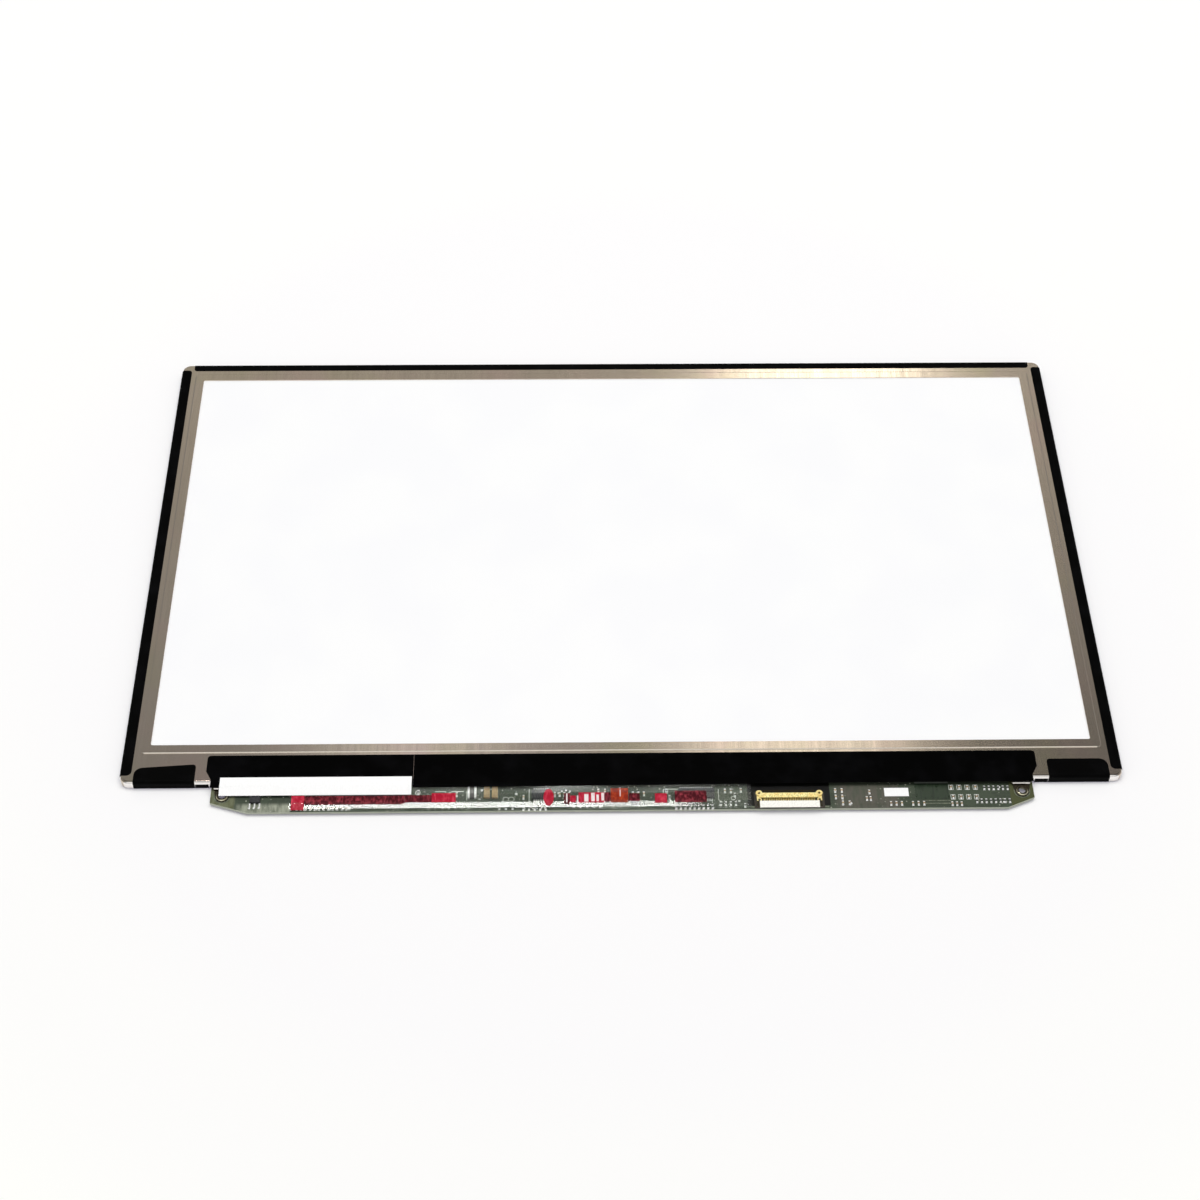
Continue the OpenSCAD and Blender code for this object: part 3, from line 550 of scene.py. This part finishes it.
def amberFinish(look):
    made, tree, shader = newFinish("amberFilm", {
        "Specular IOR Level": 0.4, "Transmission Weight": 0.1})
    wave = tree.nodes.new("ShaderNodeTexWave")
    wave.bands_direction = "X"
    wave.inputs["Scale"].default_value = 1 / (look["pitch"] * mm) / 6
    tree.links.new(place(tree), wave.inputs["Vector"])
    paint(tree, shader, tint(tree, wave.outputs["Fac"], look["amber"], look["line"]))
    roughen(tree, shader, grain(tree, 2.0), 0.22, 0.38)
    return made


def stripFinish(look):
    made, tree, shader = newFinish("diodeStrip", {"Specular IOR Level": 0.5})
    lines = spread(tree, grain(tree, 0.9, (1, 0.15, 1), 1.0), 0.52, 0.56)
    paint(tree, shader, tint(tree, lines, look["mask"], look["copper"]))
    roughen(tree, shader, grain(tree, 1.0), 0.26, 0.42)
    relief(tree, shader, lines, 0.015, 0.6)
    return made


wear(amberFinish(filmLook), "driver_films")
wear(stripFinish(stripLook), "led_strip")


# Clear film over the board: thin, faintly wavy and hazed; it lets the light through to the board

clearLook = {
    "colour": (0.86, 0.88, 0.86, 1.0), "shadow": (0.92, 0.93, 0.92, 1.0), "index": 1.32,
    "roughness": (0.02, 0.12), "waves": 7.0, "depth": 0.035,
    "pressed": (-85.9, -83.1), "slope": -18.0,  # y from and to, where the tape holds it flatter
}


def clearFinish(look):
    made, tree, shader = newFinish("clearFilm", {
        "Transmission Weight": 1.0, "IOR": look["index"], "Base Color": look["colour"]})
    waves = grain(tree, look["waves"], (0.4, 1.2, 1), 1.5)
    roughen(tree, shader, waves, *look["roughness"])
    front, back = (y * mm for y in look["pressed"])
    pressed = spread(tree, axis(tree, "Y"), front, back, 0.0, look["slope"])
    relief(tree, shader, reckon(tree, "ADD", waves, pressed), look["depth"], 0.25)
    through = tree.nodes.new("ShaderNodeBsdfTransparent")
    through.inputs["Color"].default_value = look["shadow"]
    both = mixShaders(tree, rays(tree, "Shadow"), shader.outputs["BSDF"], through.outputs["BSDF"])
    tree.links.new(both, tree.nodes["Material Output"].inputs["Surface"])
    return made


wear(clearFinish(clearLook), "clear_film")
print("board, films and strip done")


# Fine parts of the board, worked out as whole arrays in millimetres

def grid(first, second):  # two parameters of a surface, at every point of its grid
    return np.meshgrid(first, second, indexing="ij")


def gridFaces(rows, columns, copies):
    # the four corners of each square of a grid of points laid row by row, once for each copy
    row, column = grid(np.arange(rows - 1), np.arange(columns - 1))
    corner = (row * columns + column).ravel()
    square = np.stack([corner, corner + 1, corner + columns + 1, corner + columns], axis=1)
    return (square[None] + (np.arange(copies) * rows * columns)[:, None, None]).reshape(-1, 4)


def pointRows(x, y, z):
    return np.stack(np.broadcast_arrays(x, y, z), axis=-1).reshape(-1, 3)


def perCopy(values):  # one value for each copy, ready for a grid of points
    return np.asarray(values)[:, None, None]


def onceRound(count):  # angles of a whole turn; the last closes on the first
    return np.linspace(0, 2 * math.pi, count)


def fieldPoints(fields, rows, columns):
    # x and y over each rectangle: from one side to the other by two shares from 0 to 1
    left, right, front, back = (perCopy(limit) for limit in np.array(fields).T)
    u, v = grid(np.linspace(0, 1, rows), np.linspace(0, 1, columns))
    return left + (right - left) * u, front + (back - front) * v


def addPiece(name, points, faces, finish, thickness):
    mesh = bpy.data.meshes.new(name)
    mesh.from_pydata((points * mm).tolist(), [], faces.tolist())
    shape = bmesh.new()
    shape.from_mesh(mesh)
    bmesh.ops.remove_doubles(shape, verts=shape.verts, dist=0.0001 * mm)  # closes seams and poles
    shape.to_mesh(mesh)
    shape.free()
    mesh.materials.append(finish)
    piece = bpy.data.objects.new(name, mesh)
    bpy.context.collection.objects.link(piece)
    wall = piece.modifiers.new("thickness", "SOLIDIFY")
    wall.thickness, wall.offset = thickness * mm, -1.0
    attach(piece, "root")


def nodePoints(node):
    mesh = nodes[node].data
    flat = np.empty(len(mesh.vertices) * 3)
    mesh.vertices.foreach_get("co", flat)
    return flat.reshape(-1, 3) / mm


def nodeBoxes(node):
    # lowest and highest corner of each box of a node, whose boxes are twelve triangles each
    mesh = nodes[node].data
    corners = np.empty(len(mesh.loops), dtype=int)
    mesh.loops.foreach_get("vertex_index", corners)
    each = nodePoints(node)[corners].reshape(-1, 36, 3)
    return each.min(axis=1), each.max(axis=1)


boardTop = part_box("driver_board")[1][2] / mm
lugHoles = np.array([(-115.0, -85.765), (115.0, -85.765)])
filmPoints = nodePoints("clear_film")
filmLine = np.unique(np.round(filmPoints[:, 1], 3))
filmTops = np.array([filmPoints[np.abs(filmPoints[:, 1] - y) < 0.002, 2].max() for y in filmLine])


def filmTop(y):  # height of the clear film's upper face
    return np.interp(y, filmLine, filmTops)


# Solder fillets: from the end of each terminal the solder falls to its pad along a hollow curve,
# height = terminal height times (1 - distance / reach) squared, and rounds off at its two sides

filletShape = {
    "reach": 0.34, "rise": 0.85, "droop": 0.35, "pad": 0.06, "flare": 0.04,
    "overlap": 0.02, "lift": 0.012, "wall": 0.01, "steps": 6, "across": 5,
    "longest": 1.0,  # the long strips of the choke get none
}


def addFillets(shape):
    low, high = nodeBoxes("chip_terminals")
    small = (high - low)[:, 1] < shape["longest"]
    low, high = low[small], high[small]
    bodies = np.concatenate([nodeBoxes("chip_capacitors")[0], nodeBoxes("chip_resistors")[0]])
    middle, size = (low + high) / 2, high - low
    away = (np.abs(middle[:, None, 0] - bodies[None, :, 0] - size[:, None, 0] / 2)
            + np.abs(middle[:, None, 1] - bodies[None, :, 1]))
    body = bodies[away.argmin(axis=1)]
    outward = np.where(middle[:, 1] > body[:, 1], 1.0, -1.0)
    start = np.where(outward > 0, high[:, 1], low[:, 1])
    run, side = grid(np.linspace(0, 1, shape["steps"]), np.linspace(-1, 1, shape["across"]))
    height = (1 - run) ** 2 * shape["rise"] * (1 - shape["droop"] * side ** 2)
    width = 0.5 + shape["pad"] + shape["flare"] * run
    x = perCopy(middle[:, 0]) + side * width * perCopy(size[:, 0])
    y = perCopy(start) + perCopy(outward) * (run * shape["reach"] - shape["overlap"])
    z = boardTop + shape["lift"] + height * perCopy(size[:, 2])
    faces = gridFaces(shape["steps"], shape["across"], len(low))
    inward = np.repeat(outward < 0, (shape["steps"] - 1) * (shape["across"] - 1))
    faces[~inward] = faces[~inward][:, ::-1]
    addPiece("solder_fillets", pointRows(x, y, z), faces, tin, shape["wall"])


addFillets(filletShape)


# Round solder spots and test pads: low domes, height = crown times (1 - radius squared)

domes = {
    "crown": 0.12, "lift": 0.01, "wall": 0.01, "steps": 5, "around": 17,
    "spots": [  # x, y, radius
        (61.1, -85.2, 0.4), (63.0, -87.5, 0.35), (65.2, -89.7, 0.5), (12.5, -85.0, 0.45),
        (13.3, -87.1, 0.35), (-0.9, -84.9, 0.3), (-1.0, -87.9, 0.3), (-30.7, -85.6, 0.4),
        (-107.0, -89.9, 0.35), (-105.6, -89.9, 0.35), (-104.2, -89.9, 0.35), (33.3, -88.6, 0.35),
        (34.9, -90.2, 0.35), (27.9, -89.8, 0.4), (32.1, -86.6, 0.35), (76.8, -90.2, 0.3),
        (78.3, -90.2, 0.3), (79.9, -90.2, 0.3), (-19.6, -86.6, 0.26), (-18.7, -85.5, 0.26),
        (-17.6, -84.8, 0.26), (-16.4, -84.5, 0.26), (-15.3, -84.85, 0.26), (70.8, -85.8, 0.3),
        (108.6, -84.4, 0.35), (109.4, -89.6, 0.35), (-40.6, -84.3, 0.35), (-41.2, -87.4, 0.3),
    ],
    "rows": [  # x from and to, number, y, radius
        (-95.0, -78.3, 10, -90.5, 0.34), (-28.2, -22.4, 6, -90.75, 0.28),
        (15.2, 25.8, 9, -90.9, 0.26),
    ],
}


def addDomes(shape):
    rows = [(x, y, radius) for left, right, number, y, radius in shape["rows"]
            for x in np.linspace(left, right, number)]
    x, y, radius = (perCopy(values) for values in np.array(shape["spots"] + rows).T)
    r, a = grid(np.linspace(0, 1, shape["steps"]), onceRound(shape["around"]))
    points = pointRows(x + radius * r * np.cos(a), y + radius * r * np.sin(a),
                       boardTop + shape["lift"] + shape["crown"] * (1 - r ** 2))
    faces = gridFaces(shape["steps"], shape["around"], len(x))
    addPiece("solder_spots", points, faces, tin, shape["wall"])


addDomes(domes)


# Bare tinned pads: a ring round each lug hole, and bands at the tail of the diode strip and at
# the ends of the socket. A ring is each radius times cosine and sine, and a band is a flat grid

pads = {
    "lift": 0.012, "wall": 0.008, "ring": (1.35, 2.4), "steps": 4, "around": 49,
    "bands": [  # x from and to, y from and to
        (84.2, 93.9, -83.9, -83.25), (86.8, 94.0, -89.05, -88.8), (86.8, 94.0, -90.05, -89.75),
        (36.6, 39.0, -90.9, -90.5), (56.6, 58.9, -90.9, -90.5),
    ],
    "bandGrid": (6, 3), "grey": tone(96, 104, 88), "bright": tone(132, 138, 118),
}


def addPads(shape):
    r, a = grid(np.linspace(*shape["ring"], shape["steps"]), onceRound(shape["around"]))
    x, y = (perCopy(values) for values in lugHoles.T)
    height = boardTop + shape["lift"]
    rings = pointRows(x + r * np.cos(a), y + r * np.sin(a), height)
    bands = pointRows(*fieldPoints(shape["bands"], *shape["bandGrid"]), height)
    faces = np.concatenate([
        gridFaces(shape["steps"], shape["around"], len(lugHoles)),
        gridFaces(*shape["bandGrid"], len(shape["bands"]))[:, ::-1] + len(rings),
    ])
    made, tree, shader = newFinish("bareTin", {"Metallic": 0.6})
    bright = spread(tree, grain(tree, 0.7), 0.35, 0.65)
    paint(tree, shader, tint(tree, bright, shape["grey"], shape["bright"]))
    roughen(tree, shader, grain(tree, 0.4), 0.25, 0.4)
    addPiece("bare_pads", np.concatenate([rings, bands]), faces, made,
             shape["wall"])


addPads(pads)


# Raised rims round the lug holes: a profile of radius and height, turned about each hole, with a
# painted highlight on the outer front and painted shade inside and behind

rims = {
    "foot": 1.845, "wall": 0.01, "around": 49,
    "profile": [
        (1.06, 0.0), (1.06, 0.22), (1.12, 0.27), (1.3, 0.28), (1.46, 0.27), (1.56, 0.23),
        (1.66, 0.15), (1.74, 0.05), (1.77, 0.0),
    ],
    # painted shade inside the highlight radius and behind the hole, painted highlight outside it
    "rimShade": tone(84, 78, 64), "bright": tone(240, 236, 206), "dull": tone(214, 208, 176),
    "highlightFrom": 1.46, "shadedBack": (-0.2, 0.6),  # bright outside this radius, not behind the hole
}


def rimFinish(shape):
    made, tree, shader = newFinish("rimSteel", {"Metallic": 1.0})
    x, y = lugHoles[1]
    out = reckon(tree, "SUBTRACT", aside(tree), x * mm)
    back = reckon(tree, "ADD", axis(tree, "Y"), -y * mm)
    squares = reckon(tree, "ADD", reckon(tree, "POWER", out, 2.0), reckon(tree, "POWER", back, 2.0))
    radius = reckon(tree, "POWER", squares, 0.5)
    front, behind = (limit * mm for limit in shape["shadedBack"])
    # painted highlight on the outer front of the rim, painted shade elsewhere
    litCrescent = product(tree, ramp(tree, radius, shape["highlightFrom"], shape["highlightFrom"] + 0.06),
                      spread(tree, back, front, behind, 1.0, 0.0))
    colour = tint(tree, spread(tree, grain(tree, 0.6), 0.4, 0.6), shape["bright"], shape["dull"])
    paint(tree, shader, tint(tree, litCrescent, shape["rimShade"], colour))
    roughen(tree, shader, grain(tree, 0.3), 0.14, 0.24)
    return made


def addRims(shape):
    radii, heights = np.array(shape["profile"]).T
    r, a = grid(radii, onceRound(shape["around"]))
    x, y = (perCopy(values) for values in lugHoles.T)
    points = pointRows(x + r * np.cos(a), y + r * np.sin(a), shape["foot"] + heights[:, None])
    faces = gridFaces(len(radii), shape["around"], len(lugHoles))
    addPiece("lug_rims", points, faces, rimFinish(shape), shape["wall"])


addRims(rims)


# Painted shade: black strips on the foot of the front wall, between the wide tape and the patches:
# upright grids

footShadeStrips = {
    "from": 119.3, "to": 123.2, "face": -81.69, "low": 0.06, "high": 1.75, "wall": 0.02,
    "grid": (5, 3),
}


def addFootShadeStrips(shape):
    rows, columns = shape["grid"]
    u, v = grid(np.linspace(shape["from"], shape["to"], rows),
                np.linspace(shape["low"], shape["high"], columns))
    points = pointRows(perCopy([1, -1]) * u, shape["face"], v)
    faces = gridFaces(rows, columns, 2)
    first = len(faces) // 2
    faces[:first] = faces[:first, ::-1]  # so that both strips face forward
    addPiece("foot_shade_strips", points, faces, edgeTape, shape["wall"])


addFootShadeStrips(footShadeStrips)


# White marking lines: flat ribbons, each path widened by half the line to either side

marks = {
    "width": 0.16, "lift": 0.012, "wall": 0.008, "around": 25,
    "paths": [
        [(-27.0, -84.0), (-27.0, -88.3)],
        [(11.6, -84.3), (16.4, -84.3)], [(11.6, -84.3), (11.6, -88.4)],
        [(27.4, -84.4), (27.4, -88.2), (28.6, -89.0)],
        [(-54.0, -84.6), (-51.0, -84.6), (-51.0, -85.6)], [(-49.4, -84.6), (-45.8, -84.6)],
        [(-44.9, -84.4), (-44.9, -88.0)], [(-41.2, -83.9), (-36.0, -83.9)],
    ],
    "rings": [(-33.7, -87.5, 0.8), (-32.1, -87.5, 0.8), (-59.0, -85.0, 0.7), (31.6, -87.6, 0.6)],
    "boxHalf": (0.62, 0.82), "boxRows": [(94.6, -84.36, 4, 2.35), (94.9, -87.72, 4, 2.25)],
    "ink": tone(228, 230, 222), "thin": tone(196, 200, 188),
}


def ribbon(path, width):
    # each point moved along the mean normal of its two sides, to the left and to the right
    path = np.array(path, dtype=float)
    along = np.diff(path, axis=0)
    along = along / np.linalg.norm(along, axis=1, keepdims=True)
    along = np.concatenate([along[:1], (along[:-1] + along[1:]) / 2, along[-1:]])
    normal = np.stack([-along[:, 1], along[:, 0]], axis=1)
    normal = normal / np.linalg.norm(normal, axis=1, keepdims=True) * width / 2
    return np.stack([path - normal, path + normal], axis=1).reshape(-1, 2)


def addMarks(shape):
    angle = onceRound(shape["around"])
    rings = [np.stack([x + r * np.cos(angle), y + r * np.sin(angle)], axis=1)
             for x, y, r in shape["rings"]]
    outline = np.array([(-1, -1), (1, -1), (1, 1), (-1, 1), (-1, -1)]) * shape["boxHalf"]
    boxes = [outline + (x + i * pitch, y) for x, y, number, pitch in shape["boxRows"]
             for i in range(number)]
    strips = [ribbon(path, shape["width"]) for path in shape["paths"] + rings + boxes]
    starts = np.cumsum([0] + [len(strip) for strip in strips])
    faces = [gridFaces(len(strip) // 2, 2, 1)[:, ::-1] + start
             for strip, start in zip(strips, starts)]
    x, y = np.concatenate(strips).T
    made, tree, shader = newFinish("markingInk", {"Specular IOR Level": 0.3})
    thin = spread(tree, grain(tree, 0.3), 0.35, 0.65)
    paint(tree, shader, tint(tree, thin, shape["ink"], shape["thin"]))
    roughen(tree, shader, grain(tree, 0.2), 0.45, 0.65)
    addPiece("marking_lines", pointRows(x, y, boardTop + shape["lift"]), np.concatenate(faces),
             made, shape["wall"])


addMarks(marks)
print("solder and marking lines done")


# Plain fields of ink on the clear film: flat grids that follow the film's height a hair above it.
# The oval is half width times cosine and half height times sine

inks = {
    "lift": 0.02, "wall": 0.01, "fieldGrid": (15, 9), "steps": 9, "around": 33,
    "fields": {  # x from and to, y from and to
        "red": [(-95.0, -91.3, -91.0, -86.3), (-54.9, -48.0, -88.9, -85.7),
                (-15.2, -13.6, -89.2, -86.9), (-12.8, -5.4, -89.3, -85.8),
                (9.1, 12.5, -89.5, -86.3)],
        "darkRed": [(-91.3, -62.6, -89.4, -86.5), (-62.5, -54.9, -88.9, -86.4),
                    (-17.0, -15.3, -89.6, -86.0), (-5.3, -3.7, -89.1, -85.8),
                    (1.6, 4.7, -88.9, -86.2), (14.8, 23.9, -89.4, -85.5)],
        "orange": [(-3.6, 1.4, -89.3, -84.6)],
        "white": [(-13.3, -12.9, -89.6, -86.9), (-11.2, -10.0, -89.0, -86.4),
                  (-9.2, -8.2, -88.9, -86.0), (-7.7, -7.0, -88.9, -86.6),
                  (-6.3, -5.5, -88.7, -86.0), (-16.4, -16.0, -89.2, -86.1),
                  # painted highlight: this last white field is the glint of the orange part beside
                  # it, not print
                  (-1.0, -0.75, -87.3, -85.0)],
    },
    "oval": (-21.4, -87.4, 1.5, 2.8),  # middle, half width and half height
    "tones": {
        "red": (tone(168, 18, 44), tone(208, 62, 84)),
        "darkRed": (tone(64, 6, 17), tone(162, 56, 68)),
        "orange": (tone(132, 36, 16), tone(188, 70, 32)),
        "white": (tone(238, 226, 226), tone(222, 198, 200)),
    },
}


def inkFinish(name, first, second):
    made, tree, shader = newFinish(name, {"Specular IOR Level": 0.1})
    patches = spread(tree, grain(tree, 0.7, (1.0, 0.6, 1), 4.0, 0.65), 0.46, 0.68)
    paint(tree, shader, tint(tree, patches, first, second))
    roughen(tree, shader, grain(tree, 0.4), 0.3, 0.45)
    return made


def addInk(shape):
    rows, columns = shape["fieldGrid"]
    for name, fields in shape["fields"].items():
        x, y = fieldPoints(fields, rows, columns)
        lift = shape["lift"] * (2 if name == "white" else 1)  # the white lies on the red
        faces = gridFaces(rows, columns, len(fields))[:, ::-1]
        addPiece("ink_" + name, pointRows(x, y, filmTop(y) + lift), faces,
                 inkFinish(name + "Ink", *shape["tones"][name]), shape["wall"])
    middleX, middleY, halfWidth, halfHeight = shape["oval"]
    r, a = grid(np.linspace(0, 1, shape["steps"]), onceRound(shape["around"]))
    x, y = middleX + halfWidth * r * np.cos(a), middleY + halfHeight * r * np.sin(a)
    addPiece("ink_oval", pointRows(x, y, filmTop(y) + shape["lift"]),
             gridFaces(shape["steps"], shape["around"], 1),
             inkFinish("ovalInk", *shape["tones"]["red"]), shape["wall"])


addInk(inks)
print("ink done")


# Floor: white to the camera and in reflections, with the object's own soft shadow on it; near the
# object its glow is bluer, a painted lavender tint of that shadow

stageLook = {
    # the bluer haze near the object is a painted lavender tint for the object's shadow
    "size": 6.0, "height": -0.05, "paper": (1.0, 1.0, 0.95, 1.0), "haze": (0.75, 0.70, 1.0, 1.0),
    "shadowTintReach": (0.17, 0.26),  # from its haze near the object to white
    "glow": (0.15, 1.0), "reach": (0.20, 0.50),  # share of its own white, near and far
}


def addFloor(look):
    half, z = look["size"] / 2, look["height"] * mm
    mesh = bpy.data.meshes.new("floor")
    corners = [(-half, -half, z), (half, -half, z), (half, half, z), (-half, half, z)]
    mesh.from_pydata(corners, [], [(0, 1, 2, 3)])
    floor = bpy.data.objects.new("floor", mesh)
    bpy.context.collection.objects.link(floor)
    made = bpy.data.materials.new("paperFloor")
    made.use_nodes = True
    tree = made.node_tree
    tree.nodes.clear()
    diffuse = tree.nodes.new("ShaderNodeBsdfDiffuse")
    diffuse.inputs["Color"].default_value = look["paper"]
    length = tree.nodes.new("ShaderNodeVectorMath")
    length.operation = "LENGTH"
    tree.links.new(place(tree), length.inputs[0])
    away = length.outputs["Value"]  # distance from the middle of the floor
    glow = tree.nodes.new("ShaderNodeEmission")
    # painted shadow tint: the glow is bluer near the object, so its shadow there reads lavender
    haze = tint(tree, spread(tree, away, *look["shadowTintReach"]), look["haze"], white)
    tree.links.new(haze, glow.inputs["Color"])
    share = product(tree, rays(tree, "Glossy", "Transmission", "Camera"),
                    spread(tree, away, *look["reach"], *look["glow"]))
    above = mixShaders(tree, share, diffuse.outputs["BSDF"], glow.outputs["Emission"])
    clear = tree.nodes.new("ShaderNodeBsdfTransparent").outputs["BSDF"]  # shows the face from below
    fromBelow = tree.nodes.new("ShaderNodeNewGeometry").outputs["Backfacing"]
    output = tree.nodes.new("ShaderNodeOutputMaterial")
    tree.links.new(mixShaders(tree, fromBelow, above, clear), output.inputs["Surface"])
    mesh.materials.append(made)


addFloor(stageLook)


# World: plain soft light. Reflections see a glow that falls with height, faster to the right, and
# gives way towards both sides

worldLook = {
    "fill": 0.42,  # light on the object
    "level": 0.455, "height": 0.69, "most": 0.50, "least": 0.10,  # the glow, and where it is that
    "across": (-0.2, 0.25), "slope": (1.8, 3.3),  # fall with height, from left to right
    "aside": (0.35, 0.7, 1.0, 0.6),
    "warm": (1.0, 0.957, 0.854, 1.0), "warmReach": 0.09,
}


def setWorld(look):
    world = bpy.data.worlds.new("studio")
    world.use_nodes = True
    bpy.context.scene.world = world
    tree = world.node_tree
    tree.nodes.clear()
    coords = tree.nodes.new("ShaderNodeTexCoord")
    parts = tree.nodes.new("ShaderNodeSeparateXYZ")
    tree.links.new(coords.outputs["Generated"], parts.inputs["Vector"])
    across = parts.outputs["X"]
    fill, mirrored, seen = (tree.nodes.new("ShaderNodeBackground") for _ in range(3))
    for background in (fill, mirrored, seen):
        background.inputs["Color"].default_value = white
    fill.inputs["Strength"].default_value = look["fill"]

    higher = reckon(tree, "SUBTRACT", parts.outputs["Z"], look["height"])
    fall = product(tree, higher, spread(tree, across, *look["across"], *look["slope"]))
    level = reckon(tree, "SUBTRACT", look["level"], fall)
    level = reckon(tree, "MAXIMUM", reckon(tree, "MINIMUM", level, look["most"]), look["least"])
    level = product(tree, level, spread(tree, reckon(tree, "ABSOLUTE", across), *look["aside"]))
    tree.links.new(level, mirrored.inputs["Strength"])
    warmth = spread(tree, reckon(tree, "ABSOLUTE", higher), 0.0, look["warmReach"], 1.0, 0.0)
    tree.links.new(tint(tree, warmth, white, look["warm"]), mirrored.inputs["Color"])

    light, glow, backdrop = (node.outputs["Background"] for node in (fill, mirrored, seen))
    lit = mixShaders(tree, rays(tree, "Glossy", "Transmission"), light, glow)
    output = tree.nodes.new("ShaderNodeOutputWorld")
    tree.links.new(mixShaders(tree, rays(tree, "Camera"), lit, backdrop), output.inputs["Surface"])


setWorld(worldLook)


# Lamps: a broad soft box overhead, and others that show only as reflections: a narrow one for the
# clear film, one in front for the bends, one for the step, three for the near border and a warm one
# for the far border

lampLooks = {
    "softBox": {
        "place": (0.0, 0.35, 2.38), "aim": (0.0, 0.0, 0.0), "size": (2.8, 1.5),
        "glow": 3.42, "colour": (1.0, 1.0, 1.0), "mirrored": False},
    "stripBox": {
        "place": (-0.10, 0.15, 1.25), "aim": (0.0, -0.09, 0.0), "size": (0.37, 0.15),
        "glow": 32.0, "colour": (1.0, 0.99, 0.97), "mirrored": True},
    "frontBox": {
        "place": (0.0, -1.22, 1.00), "aim": (0.0, 0.0, 0.0), "size": (1.9, 1.0),
        "glow": 0.38, "colour": (1.0, 1.0, 1.0), "mirrored": True},
    "stepBox": {
        "place": (0.0, -0.86, 1.40), "aim": (0.0, -0.075, 0.0), "size": (1.4, 0.30),
        "glow": 0.60, "colour": (1.0, 0.98, 0.95), "mirrored": True},
    "nearBoxWide": {
        "place": (0.0, 1.138, 1.74), "aim": (0.0, -0.075, 0.0), "size": (0.775, 0.30),
        "glow": 0.17, "colour": (1.0, 0.97, 1.0), "mirrored": True},
    "nearBoxLeft": {
        "place": (-0.192, 1.138, 1.74), "aim": (-0.045, -0.075, 0.0), "size": (0.195, 0.30),
        "glow": 0.54, "colour": (1.0, 0.96, 0.99), "mirrored": True},
    "nearBoxRight": {
        "place": (0.266, 1.138, 1.74), "aim": (0.062, -0.075, 0.0), "size": (0.27, 0.30),
        "glow": 1.35, "colour": (1.0, 0.96, 0.84), "mirrored": True},
    "warmBox": {
        "place": (0.362, 1.88, 1.74), "aim": (0.07, 0.08, 0.0), "size": (0.28, 0.36),
        "glow": 2.55, "colour": (1.0, 0.96, 0.86), "mirrored": True},
}


def addLamp(name, look):
    data = bpy.data.lights.new(name, "AREA")
    data.shape = "RECTANGLE"
    data.size, data.size_y = look["size"]
    data.energy = look["glow"] * math.pi * data.size * data.size_y  # even glow over the lamp's face
    data.color = look["colour"]
    lamp = bpy.data.objects.new(name, data)
    lamp.location = look["place"]
    back = Vector(look["place"]) - Vector(look["aim"])  # a lamp shines along its own -Z
    lamp.rotation_euler = back.to_track_quat("Z", "Y").to_euler()
    lamp.visible_glossy = lamp.visible_transmission = look["mirrored"]
    lamp.visible_diffuse = not look["mirrored"]
    bpy.context.collection.objects.link(lamp)


for name, look in lampLooks.items():
    addLamp(name, look)
print("floor, world and lamps done")
